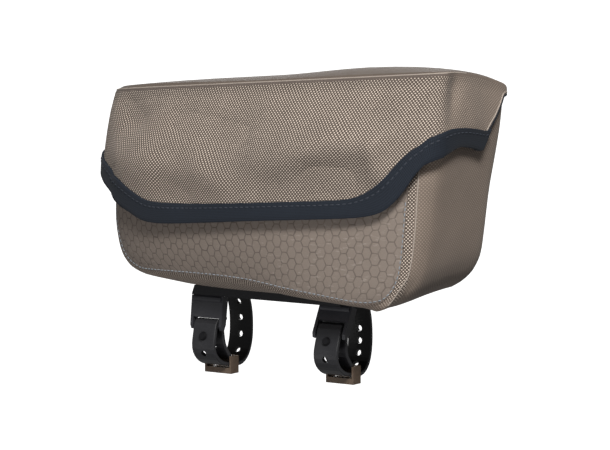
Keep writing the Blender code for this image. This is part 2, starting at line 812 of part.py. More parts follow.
def make_stud(end, material):
    """Stud through the strap's hole: a stem that stands in the hole under a wider round head."""
    path = curve_through(strap_path(end), STRAP_STEP)
    point, normal = place_along(path, stud_distance(end, path))
    outward = normal if normal.y < 0 else -normal
    middle = Vector((strap_middle(end), 0, 0))
    surface = middle + point + outward * (STRAP_THICKNESS / 2 + GAP)
    radius, top_radius = STUD_DIAMETER / 2, STUD_TOP_DIAMETER / 2
    head = cylinder(surface, surface + outward * STUD_HEIGHT, radius, STUD_SIDES, top_radius)
    foot = middle + point - outward * (STRAP_THICKNESS / 2 + GAP)
    back_head = cylinder(foot, foot - outward * STUD_HEIGHT, radius, STUD_SIDES)
    stem_radius = HOLE_DIAMETER / 2 - GAP
    stem = cylinder(foot - outward * STUD_HEIGHT / 2, surface + outward * STUD_HEIGHT / 2, stem_radius)
    mesh = combined_mesh(f"stud_{end}", head, [stem, back_head], "UNION")
    return place_object(f"stud_{end}", mesh, material)


def make_keeper(end, material):
    """Loop at the bottom of the strap: a floor, two side tabs and a bar over the strap at the back."""
    middle = strap_middle(end)
    half, inside = KEEPER_WIDTH / 2, KEEPER_WIDTH / 2 - KEEPER_WALL
    front, back = KEEPER_BACK - KEEPER_LENGTH, KEEPER_BACK
    low = -(STRAP_DROP[end] + STRAP_THICKNESS + KEEPER_SPARE)
    inner, high = low + KEEPER_FLOOR / 2, low + KEEPER_HEIGHT
    first = box((middle - half, front, low), (middle + half, back, low + KEEPER_FLOOR))
    parts = [
        box((middle - half, front, inner), (middle - inside, back, high)),
        box((middle + inside, front, inner), (middle + half, back, high)),
        box((middle - half, back - KEEPER_WALL, high - KEEPER_WALL), (middle + half, back, high)),
    ]
    mesh = combined_mesh(f"keeper_{end}", first, parts, "UNION")
    return place_object(f"keeper_{end}", mesh, material)


def main():
    clear_scene()
    woven = make_material("woven_fabric", (124, 113, 103), 0.75)
    patterned = make_material("hexagon_fabric", (112, 101, 93), 0.7)
    tape = make_material("navy_tape", (36, 42, 52), 0.8)
    plastic = make_material("black_plastic", (38, 38, 42), 0.45)
    rubber = make_material("black_rubber", (44, 44, 47), 0.55)
    make_bag_body(woven)
    make_front_panel(patterned)
    make_flap(woven)
    for name in TAPE_SPANS:
        make_binding(name, tape)
    make_base_plate(plastic)
    for end in ("tail", "head"):
        make_strap(end, rubber)
        make_buckle(end, plastic)
        make_stud(end, plastic)
        make_keeper(end, plastic)


main()
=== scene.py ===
"""Looks of the top tube bag: cloth, tape, stitching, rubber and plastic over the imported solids.

The shape lines repeat the part's own sizes, in metres, in the part's frame: +X along the tube to the tall
head end, -Y the front, +Z up, and the origin at the centre of the base plate's underside.
"""

import json
import math
from collections import namedtuple

import bpy
import numpy as np
from mathutils import Matrix, Vector

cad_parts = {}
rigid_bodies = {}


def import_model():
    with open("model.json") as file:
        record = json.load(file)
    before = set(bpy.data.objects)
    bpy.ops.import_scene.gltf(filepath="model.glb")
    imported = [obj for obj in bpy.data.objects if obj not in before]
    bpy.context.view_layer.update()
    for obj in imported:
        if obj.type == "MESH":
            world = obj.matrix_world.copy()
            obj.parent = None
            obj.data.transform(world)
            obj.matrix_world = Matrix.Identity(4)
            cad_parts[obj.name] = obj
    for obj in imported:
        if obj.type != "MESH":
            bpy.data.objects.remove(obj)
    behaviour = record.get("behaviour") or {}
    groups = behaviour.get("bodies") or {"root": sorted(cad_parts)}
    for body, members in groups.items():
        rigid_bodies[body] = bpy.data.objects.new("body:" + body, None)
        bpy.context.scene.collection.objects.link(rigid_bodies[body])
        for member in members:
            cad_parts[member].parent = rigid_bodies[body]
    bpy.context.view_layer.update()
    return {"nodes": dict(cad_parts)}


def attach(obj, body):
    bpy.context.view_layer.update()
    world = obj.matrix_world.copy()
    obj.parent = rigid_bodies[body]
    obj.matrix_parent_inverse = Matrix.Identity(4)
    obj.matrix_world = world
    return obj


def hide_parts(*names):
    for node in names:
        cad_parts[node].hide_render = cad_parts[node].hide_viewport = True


def table(row, *values):
    """Rows of a table, each with its columns named."""
    return tuple(row(*columns) for columns in values)


# Clearances and walls, in metres
GAP = 0.0003
BODY_WALL = 0.0016
FLAP_WALL = 0.0014
TAPE_WALL = 0.0009
TAPE_GAP = 0.0005

# Body: distances from the origin at the height where the bag is fullest
MIDDLE = 0.015
BODY_TAIL = 0.1022
BODY_HEAD = 0.1065
BODY_FRONT = 0.040
BODY_BACK = 0.0368
RIM_CLEARANCE = 0.005

# Lid: the seam along its front edge, and how the top crowns and falls toward the back
SEAM_HEIGHT = 0.1152
SEAM_RISE = 0.075
TAIL_CROWN = 0.0036
HEAD_CROWN = 0.0058
BACK_FALL = 0.0115
CROWN_REACH = 0.060
CROWN_END = 4

# Flap: how far it stands off the body's distances, and how far its front hangs below the seam
FLAP_TAIL = BODY_TAIL + 0.0074
FLAP_HEAD = BODY_HEAD + 0.0100
FLAP_FRONT = BODY_FRONT + 0.0070
FLAP_BACK = BODY_BACK + 0.0057
FLAP_DROP = 0.080
TAPE_WIDTH = 0.0087

PLATE_THICKNESS = 0.005
STRAP_SPACING = 0.078

# Corner exponents of the plan outlines, 2 for an ellipse and more for a squarer corner, and the
# share of its depth by which a side bows in toward its ends
BACK_CORNER = 14.0
TAIL_BOW = 0.35
BACK_BOW = 0.06

Plan = namedtuple("Plan", "tail head front back tail_corner head_corner head_bow")

# Body sections from the bottom edge to the rim: the level is a share of the height, the next four
# columns are shares of the body's distances
BodySection = namedtuple("BodySection", "level tail head front back head_corner")
BODY_SECTIONS = table(
    BodySection,
    (0.000, 0.75, 0.845, 0.900, 0.80, 5.0),
    (0.015, 0.81, 0.885, 0.955, 0.87, 6.0),
    (0.042, 0.870, 0.925, 0.983, 0.92, 7.0),
    (0.070, 0.910, 0.948, 0.992, 0.95, 8.0),
    (0.130, 0.955, 0.975, 0.998, 0.985, 9.0),
    (0.210, 0.982, 0.989, 1.000, 0.995, 9.0),
    (0.330, 1.000, 1.003, 1.000, 1.000, 8.5),
    (0.500, 1.000, 1.018, 0.960, 1.035, 7.5),
    (0.680, 0.990, 1.040, 0.860, 1.090, 6.0),
    (0.840, 0.975, 1.059, 0.730, 1.125, 6.0),
    (1.000, 0.945, 1.070, 0.600, 1.155, 6.0),
)
BODY_TAIL_CORNER = 4.0
BODY_HEAD_BOW = 0.22
FLOOR_SHARES = (0.62, 0.66, 0.60, 0.64)

# Dents and swells of soft walls: centre and reach round the plan in turns and down the wall as a level
# or a drop, and how far the wall stands out as a share of the front's distance, below zero for a dent
Dent = namedtuple("Dent", "turn down turn_reach down_reach out")
BODY_DENTS = (Dent(0.225, -0.02, 0.060, 0.15, -0.10),)

# Height of the front's bottom edge along the body's length, and its further rise toward the back, both
# as shares of BOTTOM_LIFT
BOTTOM_LIFT = 0.010
BottomRow = namedtuple("BottomRow", "along height back_rise")
BOTTOM_EDGE = table(
    BottomRow,
    (-1.0, 0.48, 0.10),
    (-0.7, 0.72, 0.12),
    (-0.35, 0.84, 0.16),
    (0.0, 0.80, 0.25),
    (0.25, 0.54, 0.40),
    (0.5, 0.31, 0.55),
    (0.75, 0.02, 0.73),
    (0.85, 0.21, 0.77),
    (1.0, 0.70, 0.80),
)

# Flap sections by how far they hang below the lid's edge, as a share of FLAP_DROP
FlapSection = namedtuple("FlapSection", "drop tail head front back tail_corner head_corner head_bow")
FLAP_SECTIONS = table(
    FlapSection,
    (0.0, 0.955, 1.000, 0.600, 1.0, 4.0, 14.0, 0.02),
    (0.2, 0.985, 0.998, 0.742, 1.0, 4.0, 10.0, 0.13),
    (0.5, 1.000, 0.985, 0.925, 1.0, 4.0, 8.0, 0.24),
    (1.0, 1.000, 0.980, 0.995, 1.0, 4.0, 8.0, 0.24),
)
FLAP_DENTS = table(
    Dent,
    (0.290, 0.42, 0.026, 0.15, 0.100),
    (0.165, 0.55, 0.028, 0.14, 0.055),
    (0.150, 0.24, 0.028, 0.12, -0.030),
    (0.224, 0.42, 0.020, 0.14, -0.050),
    (0.434, 0.15, 0.020, 0.13, -0.035),
)

# Lower edge of the flap: the turn goes round the plan from the tail end by the front, the drop is a
# share of FLAP_DROP below the lid's edge
EdgeRow = namedtuple("EdgeRow", "turn drop")
FLAP_EDGE = table(
    EdgeRow,
    (-0.137, 0.05),
    (-0.090, 0.09),
    (-0.066, 0.17),
    (-0.054, 0.25),
    (-0.036, 0.38),
    (-0.026, 0.47),
    (0.000, 0.49),
    (0.040, 0.51),
    (0.065, 0.56),
    (0.120, 0.69),
    (0.160, 0.80),
    (0.176, 0.86),
    (0.190, 0.88),
    (0.250, 0.87),
    (0.310, 0.87),
    (0.325, 0.86),
    (0.335, 0.83),
    (0.346, 0.75),
    (0.363, 0.61),
    (0.390, 0.55),
    (0.415, 0.52),
    (0.465, 0.46),
    (0.510, 0.46),
    (0.533, 0.46),
    (0.543, 0.38),
    (0.553, 0.32),
    (0.566, 0.25),
    (0.578, 0.17),
    (0.590, 0.09),
    (0.637, 0.05),
)

EdgePlace = namedtuple("EdgePlace", "travelled turn height")

# Stretches of the flap's edge that each tape covers, as turns round the plan
TAPE_SPANS = {"flap_binding": (-0.026, 0.415), "wing_binding": (0.415, 0.533)}

EDGE_STEPS = 400


def smooth_value(rows, place, column):
    """Value of a table's column at a place along its first column, by a smooth curve through the rows."""
    places = [row[0] for row in rows]
    values = [getattr(row, column) for row in rows]
    place = min(max(place, places[0]), places[-1])
    index = max(i for i in range(len(places) - 1) if places[i] <= place)
    span = places[index + 1] - places[index]
    share = (place - places[index]) / span
    slopes = []
    for i in (index, index + 1):
        low, high = max(i - 1, 0), min(i + 1, len(places) - 1)
        slopes.append((values[high] - values[low]) / (places[high] - places[low]) * span)
    square, cube = share**2, share**3
    return (
        (2 * cube - 3 * square + 1) * values[index]
        + (cube - 2 * square + share) * slopes[0]
        + (3 * square - 2 * cube) * values[index + 1]
        + (cube - square) * slopes[1]
    )


def plan_point(turn, plan):
    """Point of a plan outline: turn 0 is the tail end, 0.25 the front, 0.5 the head end, 0.75 the back."""
    quarter = math.floor(turn * 4)
    lean = 2 * (turn * 4 - quarter) - 1
    angle = math.pi / 4 * (1 + math.copysign(abs(lean) ** 1.5, lean))
    along, across = math.cos(angle + quarter * math.pi / 2), math.sin(angle + quarter * math.pi / 2)
    along, across = -along, -across
    to_head, to_back = along > 0, across > 0
    corner = BACK_CORNER if to_back else (plan.head_corner if to_head else plan.tail_corner)
    reach = (abs(along) ** corner + abs(across) ** corner) ** (-1 / corner)
    along, across = along * reach, across * reach
    bow = BACK_BOW if to_back else (plan.head_bow if to_head else TAIL_BOW)
    length = plan.head - MIDDLE if to_head else plan.tail + MIDDLE
    depth = plan.back if to_back else plan.front
    return Vector((MIDDLE + along * length, across * depth * (1 - bow * along**2), 0))


def dent_out(dents, turn, down):
    """How far a wall stands out here, as a share of the front's distance."""
    total = 0.0
    for dent in dents:
        apart = ((turn - dent.turn) / dent.turn_reach) ** 2 + ((down - dent.down) / dent.down_reach) ** 2
        total += dent.out * math.exp(-apart)
    return total


def sized_plan(rows, sizes, place, inset, **fixed):
    """Outline at a place of a table whose first four sides are shares of these sizes."""
    columns = {name: smooth_value(rows, place, name) for name in rows[0]._fields[1:]}
    for side, size in sizes.items():
        columns[side] = size * columns[side] - inset
    return Plan(**columns, **fixed)


def body_plan(level, inset=0.0):
    sizes = {"tail": BODY_TAIL, "head": BODY_HEAD, "front": BODY_FRONT, "back": BODY_BACK}
    fixed = {"tail_corner": BODY_TAIL_CORNER, "head_bow": BODY_HEAD_BOW}
    return sized_plan(BODY_SECTIONS, sizes, level, inset, **fixed)


def flap_plan(drop, inset=0.0):
    sizes = {"tail": FLAP_TAIL, "head": FLAP_HEAD, "front": FLAP_FRONT, "back": FLAP_BACK}
    return sized_plan(FLAP_SECTIONS, sizes, drop, inset)


def lid_edge_height(x, y):
    """Height of the lid's edge, which falls toward the back."""
    front = -FLAP_FRONT * FLAP_SECTIONS[0].front
    toward_back = (y - front) / (FLAP_BACK - front)
    return SEAM_HEIGHT + SEAM_RISE * x - BACK_FALL * max(toward_back, 0.0) ** 2


def lid_height(x, y):
    """Height of the lid's crowned top."""
    front = -FLAP_FRONT * FLAP_SECTIONS[0].front
    across = 2 * (y - front) / (FLAP_BACK - front) - 1
    along = (x - MIDDLE) / (FLAP_HEAD - MIDDLE if x > MIDDLE else FLAP_TAIL + MIDDLE)
    swell = min(max(x / CROWN_REACH, 0.0), 1.0)
    crown = TAIL_CROWN + (HEAD_CROWN - TAIL_CROWN) * swell**2 * (3 - 2 * swell)
    crown *= max(1 - abs(along) ** CROWN_END, 0.0) * max(1 - across**2, 0.0)
    return lid_edge_height(x, y) + crown


def bottom_height(x, y):
    length = BODY_HEAD if x > 0 else BODY_TAIL
    from_back = min((BODY_BACK - y) / (BODY_FRONT + BODY_BACK), 1.0)
    front = smooth_value(BOTTOM_EDGE, x / length, "height")
    rise = smooth_value(BOTTOM_EDGE, x / length, "back_rise")
    return BOTTOM_LIFT * (front + rise * (1 - from_back**2))


def body_point(turn, level, inset=0.0):
    dented = inset - BODY_FRONT * dent_out(BODY_DENTS, turn, level)
    point = plan_point(turn, body_plan(level, dented))
    low = bottom_height(point.x, point.y) + inset * (1 - level) ** 4
    high = lid_edge_height(point.x, point.y) - FLAP_WALL - RIM_CLEARANCE
    point.z = low + level * (high - low)
    return point


def body_normal(turn, level):
    step = 0.002
    round_body = body_point(turn + step, level) - body_point(turn - step, level)
    upward = body_point(turn, min(level + step, 1)) - body_point(turn, max(level - step, 0))
    return round_body.cross(upward).normalized()


def flap_point(turn, drop, outset=0.0):
    """Point of the flap's hanging face, this share of FLAP_DROP below the lid's edge."""
    edge = plan_point(turn, flap_plan(0.0))
    dented = -outset - FLAP_FRONT * dent_out(FLAP_DENTS, turn, drop)
    point = plan_point(turn, flap_plan(drop, dented))
    point.z = lid_edge_height(edge.x, edge.y) - drop * FLAP_DROP
    return point


def flap_edge_drop(turn):
    """Share of FLAP_DROP at the flap's lower edge. Between the wings the edge is the lip at the back."""
    turn = (turn + 0.25) % 1.0 - 0.25
    if turn > FLAP_EDGE[-1].turn:
        return FLAP_EDGE[-1].drop
    if turn < FLAP_EDGE[0].turn:
        return FLAP_EDGE[0].drop
    return smooth_value(FLAP_EDGE, turn, "drop")


def edge_places(first, last):
    """Places closely spaced along the flap's edge, with the level distance travelled to each."""
    places = []
    travelled, before = 0.0, None
    for index in range(EDGE_STEPS + 1):
        turn = first + (last - first) * index / EDGE_STEPS
        point = flap_point(turn, flap_edge_drop(turn))
        if before is not None:
            travelled += math.hypot(point.x - before.x, point.y - before.y)
        places.append(EdgePlace(travelled, turn, point.z))
        before = point
    return places


# Scene detail, in metres unless said otherwise
CLOTH_COLUMNS = 256
THREAD = 0.92
WEAVE_TURN = math.radians(-4.0)
HEXAGON_HEIGHT = 5.9
HEXAGON_STEP = 4.4
PANEL_LIFT = 0.0009
PLAIN_BAND = 2.1
STITCH_FROM_TOP = 0.0024
# The lid's cloth coordinates lie this far along, which tells it from the hanging cloth
LID_SHIFT_MM = 500.0
LID_FROM_MM = 300.0
# Painted shade in the woven cloth's colour: the share by which the lid's top is darkened, the share by
# which the flap's lower part is darkened, the tone just below the lid's edge and how far down, in
# millimetres, that shade reaches, and from where to where the flap's lower part darkens.
LID_PAINTED_SHADE = 0.52
LOWER_FLAP_PAINTED_SHADE = 0.16
SEAM_PAINTED_SHADE = 0.80
SEAM_SHADE_MM = 9.0
FLAP_SHADE_MM = (26.0, 54.0)
# Painted light on the patch: from where to where across it, in millimetres, it grows lighter, with fainter
# outlines and stronger painted highlights on its crinkles; then its base tone and how much lighter it gets.
PATCH_LIT_MM = (80.0, 150.0)
PATCH_TONES = (0.94, 0.12)
PALE_THREAD = (217, 201, 187)
DARK_THREAD = (92, 80, 71)
WEAVE_GAP = (30, 25, 21)
WEAVE_MEAN = (129, 115, 104)
WING_SLANT = 0.017
RIDGE_HEIGHT = 0.0016
RIDGE_REACH = 0.0070
EDGE_ROUND = 0.0016

# Stretches of the outline with closer columns: first turn, last turn and step
FLAP_CLOSE = ((0.090, 0.190, 0.0020), (0.300, 0.440, 0.0015), (0.530, 0.612, 0.0015))
BODY_CLOSE = ((0.340, 0.420, 0.0010),)

# Upper edge of the tape by turn, as a share of FLAP_DROP
TapeRow = namedtuple("TapeRow", "turn drop")
TAPE_TOP = table(
    TapeRow,
    (-0.0260, 0.370),
    (0.0000, 0.385),
    (0.0400, 0.405),
    (0.0632, 0.437),
    (0.0937, 0.500),
    (0.1300, 0.570),
    (0.1509, 0.612),
    (0.1668, 0.690),
    (0.1781, 0.742),
    (0.1862, 0.760),
    (0.2057, 0.772),
    (0.2600, 0.774),
    (0.3046, 0.773),
    (0.3145, 0.762),
    (0.3238, 0.723),
    (0.3322, 0.659),
    (0.3390, 0.596),
    (0.3464, 0.532),
    (0.3557, 0.479),
    (0.3841, 0.417),
    (0.4285, 0.365),
    (0.4681, 0.353),
    (0.5089, 0.351),
    (0.5359, 0.350),
    (0.5520, 0.328),
)

# The ridge down the body's front corner at the head end, by level
RidgeRow = namedtuple("RidgeRow", "level turn")
RIDGE = table(
    RidgeRow,
    (0.00, 0.355),
    (0.09, 0.363),
    (0.16, 0.377),
    (0.30, 0.383),
    (0.45, 0.384),
    (1.00, 0.380),
)

# Lower edge of the patterned patch, by turn
PatchRow = namedtuple("PatchRow", "turn level")
PATCH_EDGE = table(
    PatchRow,
    (0.0840, 0.500),
    (0.0870, 0.330),
    (0.0915, 0.210),
    (0.1000, 0.120),
    (0.1120, 0.078),
    (0.1300, 0.058),
    (0.1550, 0.050),
    (0.2200, 0.048),
    (0.2750, 0.038),
    (0.3200, 0.031),
    (0.3380, 0.040),
    (0.3500, 0.066),
    (0.3555, 0.130),
    (0.3580, 0.260),
    (0.3592, 0.500),
)
PATCH_TOP = 0.66


def rgb(red, green, blue):
    def linear(channel):
        channel /= 255
        return channel / 12.92 if channel <= 0.04045 else ((channel + 0.055) / 1.055) ** 2.4

    return (linear(red), linear(green), linear(blue), 1.0)


# Shapes


def add_object(name, data):
    obj = bpy.data.objects.new(name, data)
    bpy.context.scene.collection.objects.link(obj)
    return obj


def mesh_piece(name, points, faces, material, corner_uvs=None, sharp=40):
    """Mesh object that rides on the part, with one UV map in millimetres."""
    mesh = bpy.data.meshes.new(name)
    mesh.from_pydata([tuple(point) for point in points], [], faces)
    if corner_uvs is not None:
        layer = mesh.uv_layers.new(name="cloth_mm")
        flat = np.array([value for face in corner_uvs for pair in face for value in pair], np.float32)
        layer.data.foreach_set("uv", flat)
    mesh.materials.append(material)
    mesh.shade_smooth()
    mesh.set_sharp_from_angle(angle=math.radians(sharp))
    obj = add_object(name, mesh)
    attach(obj, "root")
    return obj


def skin(rings, across, along):
    """Points, faces and corner UVs of a skin through rings: across gives a ring corner's place round
    the ring and along each ring's own place, both in millimetres."""
    count = len(rings[0])
    points = [point for ring in rings for point in ring]
    faces, uvs = [], []
    for row in range(len(rings) - 1):
        for i in range(count):
            j = (i + 1) % count
            faces.append((row * count + i, row * count + j, (row + 1) * count + j, (row + 1) * count + i))
            left, right = across(row, i), across(row, i + 1)
            low_left, low_right = along(row, i), along(row, i + 1)
            top_left, top_right = along(row + 1, i), along(row + 1, i + 1)
            uvs.append(((left, low_left), (right, low_right), (across(row + 1, i + 1), top_right),
                        (across(row + 1, i), top_left)))
    return points, faces, uvs


def capped(points, faces, uvs, first, last):
    """Adds a face over the first ring and one over the last."""
    faces.append(tuple(first)[::-1])
    uvs.append([(points[i].x * 1000, points[i].y * 1000) for i in tuple(first)[::-1]])
    faces.append(tuple(last))
    uvs.append([(points[i].x * 1000, points[i].y * 1000) for i in last])


def path_lengths(path):
    """Distance travelled along a path to each of its points, in metres."""
    lengths = [0.0]
    for a, b in zip(path, path[1:]):
        lengths.append(lengths[-1] + (b - a).length)
    return lengths


def join_rings(faces, uvs, base, marks, places):
    """Faces between rings that start at corner number base: a mark is a ring's UV, a place a corner's."""
    corners = len(places) - 1
    for row in range(len(marks) - 1):
        low = base + row * corners
        left, right = marks[row], marks[row + 1]
        for k in range(corners):
            n = (k + 1) % corners
            faces.append((low + k, low + n, low + corners + n, low + corners + k))
            near, far = places[k], places[k + 1]
            uvs.append(((left, near), (left, far), (right, far), (right, near)))


def plain_ends(faces, uvs, base, rings, corners):
    """Adds a face over the first ring and one over the last, with no place on the cloth."""
    last = base + (rings - 1) * corners
    for ring in (range(base, base + corners)[::-1], range(last, last + corners)):
        faces.append(tuple(ring))
        uvs.append([(0.0, 0.0)] * corners)


def tube(name, path, radius, material, sides=8):
    """Round cord along a path."""
    points, faces, uvs = [], [], []
    up = Vector((0.13, 0.21, 0.97)).normalized()
    for index, point in enumerate(path):
        run = (path[min(index + 1, len(path) - 1)] - path[max(index - 1, 0)]).normalized()
        side = run.cross(up)
        if side.length < 0.2:
            side = run.cross(Vector((1, 0, 0)))
        side.normalize()
        top = side.cross(run)
        for k in range(sides):
            angle = 2 * math.pi * k / sides
            points.append(point + (side * math.cos(angle) + top * math.sin(angle)) * radius)
    join_rings(faces, uvs, 0, [length * 1000 for length in path_lengths(path)], range(sides + 1))
    capped(points, faces, uvs, range(sides), range((len(path) - 1) * sides, len(path) * sides))
    return mesh_piece(name, points, faces, material, uvs, 60)


def stitches(name, path, normals, length, gap, radius, material):
    """Row of short sewn stitches that dip into the cloth at both ends."""
    lengths = path_lengths(path)

    def at(distance):
        index = max(0, min(int(np.searchsorted(lengths, distance)) - 1, len(path) - 2))
        share = (distance - lengths[index]) / max(lengths[index + 1] - lengths[index], 1e-9)
        return path[index].lerp(path[index + 1], share), normals[index].lerp(normals[index + 1], share)

    points, faces, uvs = [], [], []
    count = int(lengths[-1] / (length + gap))
    profile = ((0.0, -0.9, 0.35), (0.12, 0.1, 0.8), (0.35, 0.55, 1.0), (0.65, 0.55, 1.0), (0.88, 0.1, 0.8),
               (1.0, -0.9, 0.35))
    sides = 6
    for stitch in range(count):
        start = stitch * (length + gap) + gap / 2
        base = len(points)
        for share, height, thickness in profile:
            point, normal = at(start + share * length)
            ahead, _ = at(start + share * length + 0.0003)
            behind, _ = at(start + share * length - 0.0003)
            run = (ahead - behind).normalized()
            side = run.cross(normal).normalized()
            for k in range(sides):
                angle = 2 * math.pi * k / sides
                offset = side * math.cos(angle) + normal * math.sin(angle) * 0.8
                points.append(point + normal * height * radius + offset * radius * thickness)
        join_rings(faces, uvs, base, range(len(profile)), range(sides + 1))
        plain_ends(faces, uvs, base, len(profile), sides)
    return mesh_piece(name, points, faces, material, uvs, 80)


def soft_step(low, high, value):
    share = min(max((value - low) / (high - low), 0.0), 1.0)
    return share * share * (3 - 2 * share)


# Folds and hollows of the flap: a line from one place to another, with its reach and its height in
# millimetres, below zero for a hollow
Fold = namedtuple("Fold", "turn drop end_turn end_drop reach height")
FLAP_FOLDS = table(
    Fold,
    (0.296, 0.36, 0.322, 0.44, 8.0, 2.4),
    (0.322, 0.44, 0.328, 0.62, 5.5, 2.6),
    (0.352, 0.10, 0.334, 0.34, 8.0, 1.6),
    (0.286, 0.62, 0.308, 0.66, 9.0, -2.6),
    (0.250, 0.50, 0.280, 0.46, 9.0, 1.8),
    (0.256, 0.68, 0.276, 0.72, 8.0, -1.4),
    (0.214, 0.54, 0.228, 0.64, 6.5, 2.4),
    (0.190, 0.64, 0.206, 0.74, 6.5, -1.8),
    (0.196, 0.24, 0.236, 0.34, 8.0, -2.2),
    (0.120, 0.12, 0.156, 0.22, 7.0, -1.8),
    (0.140, 0.42, 0.180, 0.48, 9.0, 1.8),
    (0.250, 0.16, 0.310, 0.12, 8.0, 1.6),
    (0.404, 0.08, 0.412, 0.30, 6.0, 0.5),
    (0.420, 0.08, 0.430, 0.30, 7.0, -0.9),
    (0.480, 0.05, 0.505, 0.28, 8.0, 0.8),
)


def outline_length(plan, places):
    """Distance travelled round an outline to each place, in millimetres."""
    travelled = [0.0]
    for first, second in zip(places, places[1:]):
        travelled.append(travelled[-1] + (plan_point(second, plan) - plan_point(first, plan)).length * 1000)
    return travelled


def column_turns(close):
    """Turns of the cloth's columns round the bag, closer where its form needs it."""
    kept = {round(index / CLOTH_COLUMNS, 5) for index in range(CLOTH_COLUMNS)}
    for first, last, step in close:
        kept = {turn for turn in kept if not first <= turn <= last}
        kept |= {round(first + (last - first) * i / round((last - first) / step), 5)
                 for i in range(round((last - first) / step) + 1)}
    return sorted(kept)


GIRTH_TURNS = [index / 400 for index in range(401)]
FLAP_GIRTH = outline_length(flap_plan(0.45), GIRTH_TURNS)


def flap_across(turn):
    return float(np.interp(turn % 1.0, GIRTH_TURNS, FLAP_GIRTH))


def flap_relief(turn, drop):
    """How far folds and hollows lift the flap's cloth here, in metres."""
    if turn > 0.6 or turn < 0.05:
        return 0.0
    place = Vector((flap_across(turn), drop * FLAP_DROP * 1000))
    total = 0.0
    for fold in FLAP_FOLDS:
        start = Vector((flap_across(fold.turn), fold.drop * FLAP_DROP * 1000))
        end = Vector((flap_across(fold.end_turn), fold.end_drop * FLAP_DROP * 1000))
        along = (place - start).dot(end - start) / (end - start).length_squared
        near = start.lerp(end, min(max(along, 0.0), 1.0))
        away = (place - near).length / fold.reach
        if away < 2.6:
            total += fold.height * math.exp(-(away**2))
    fade = soft_step(0.0, 0.10, drop) * soft_step(0.05, 0.09, turn) * (1 - soft_step(0.55, 0.6, turn))
    return total / 1000 * fade


def flap_face(turn, drop, stand=0.0):
    """Point on the flap cloth's outer face, whose top edge is rounded and whose folds stand out."""
    soft = EDGE_ROUND * max(1 - drop * FLAP_DROP / EDGE_ROUND / 1.6, 0.0) ** 2
    point = flap_point(turn, drop, flap_relief(turn, drop) - soft * 0.45 + stand)
    point.z -= soft * 0.30
    return point


def make_flap_cloth(material):
    """Lid, long front and wings in one skin of cloth with its inner side."""
    places = column_turns(FLAP_CLOSE)
    count = len(places)
    edges = [flap_edge_drop(turn) for turn in places]
    girth = [flap_across(turn) for turn in places] + [FLAP_GIRTH[-1]]
    lid_shares = (0.10, 0.25, 0.40, 0.55, 0.68, 0.80, 0.88, 0.93, 0.965)
    hang_shares = [0.0, 0.010, 0.024, 0.05, 0.09] + [0.13 + 0.87 * i / 26 for i in range(27)]
    centre = Vector((MIDDLE, (FLAP_BACK - FLAP_FRONT * FLAP_SECTIONS[0].front) / 2, 0))

    def lid_ring(share, lower):
        ring = []
        for turn in places:
            point = centre + (plan_point(turn, flap_plan(0.0, lower)) - centre) * share
            ring.append(Vector((point.x, point.y, lid_height(point.x, point.y) - lower)))
        return ring

    def hanging_ring(share, inset):
        ring = []
        for turn, bottom in zip(places, edges):
            top = FLAP_WALL / FLAP_DROP if inset else 0.0
            drop = top + share * (bottom - top)
            ring.append(flap_point(turn, drop, -inset) if inset else flap_face(turn, drop))
        return ring

    rings = [lid_ring(share, 0.0) for share in lid_shares]
    lid_rows = len(rings)
    rings += [hanging_ring(share, 0.0) for share in hang_shares]
    rings += [hanging_ring(share, FLAP_WALL) for share in hang_shares[::-2]]
    rings += [lid_ring(share, FLAP_WALL) for share in lid_shares[::-1]]
    seam = [flap_point(turn, 0.0).z for turn in places]

    def across(row, i):
        return rings[row][i % count].x * 1000 if row < lid_rows else girth[i]

    def along(row, i):
        point = rings[row][i % count]
        return point.y * 1000 if row < lid_rows else (seam[i % count] - point.z) * 1000

    points, faces, uvs = skin(rings, across, along)
    for index, face in enumerate(faces):
        row = index // count
        if row < lid_rows:
            uvs[index] = [(points[v].x * 1000, points[v].y * 1000 + LID_SHIFT_MM) for v in face]
    total = len(rings) * count
    capped(points, faces, uvs, range(count), range(total - count, total))
    for cap in (-2, -1):
        uvs[cap] = [(across_mm, along_mm + LID_SHIFT_MM) for across_mm, along_mm in uvs[cap]]
    obj = mesh_piece("flap_cloth", points, faces, material, uvs, 70)
    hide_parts("flap")
    return obj


def make_lid_seam(material):
    """Thin welded line along the lid's front edge and round its corners."""
    path = []
    for index in range(241):
        path.append(flap_face(0.045 + 0.43 * index / 240, 0.004))
    obj = tube("lid_seam", path, 0.00040, material)
    return obj


# First turn, last turn and the side on which the welded line runs
WING_EDGES = {"head": (TAPE_SPANS["wing_binding"][1], 0.603, -1), "tail": (-0.026, -0.11, 1)}


def make_wing_edges(tape, piping):
    """Narrow dark tape on the flap's edge behind each wide tape, and a light welded line beside it."""
    for name, (first, last, inward) in WING_EDGES.items():
        edge, line = [], []
        for index in range(91):
            turn = first + (last - first) * index / 90
            drop = flap_edge_drop(turn)
            edge.append(flap_point(turn, drop - 0.004, -FLAP_WALL / 2))
            line.append(flap_face(turn + 0.0042 * inward, max(drop - 0.016, 0.02)))
        cord = tube(f"wing_edge_{name}", edge, 0.0010, tape, 10)
        welt = tube(f"wing_line_{name}", line, 0.00045, piping)


def ridge_lift(turn, level, point):
    at = smooth_value(RIDGE, level, "turn")
    if abs(turn - at) > 0.06:
        return 0.0
    away = (body_point(at, level) - point).length
    return RIDGE_HEIGHT * max(1 - away / RIDGE_REACH, 0.0) ** 1.4


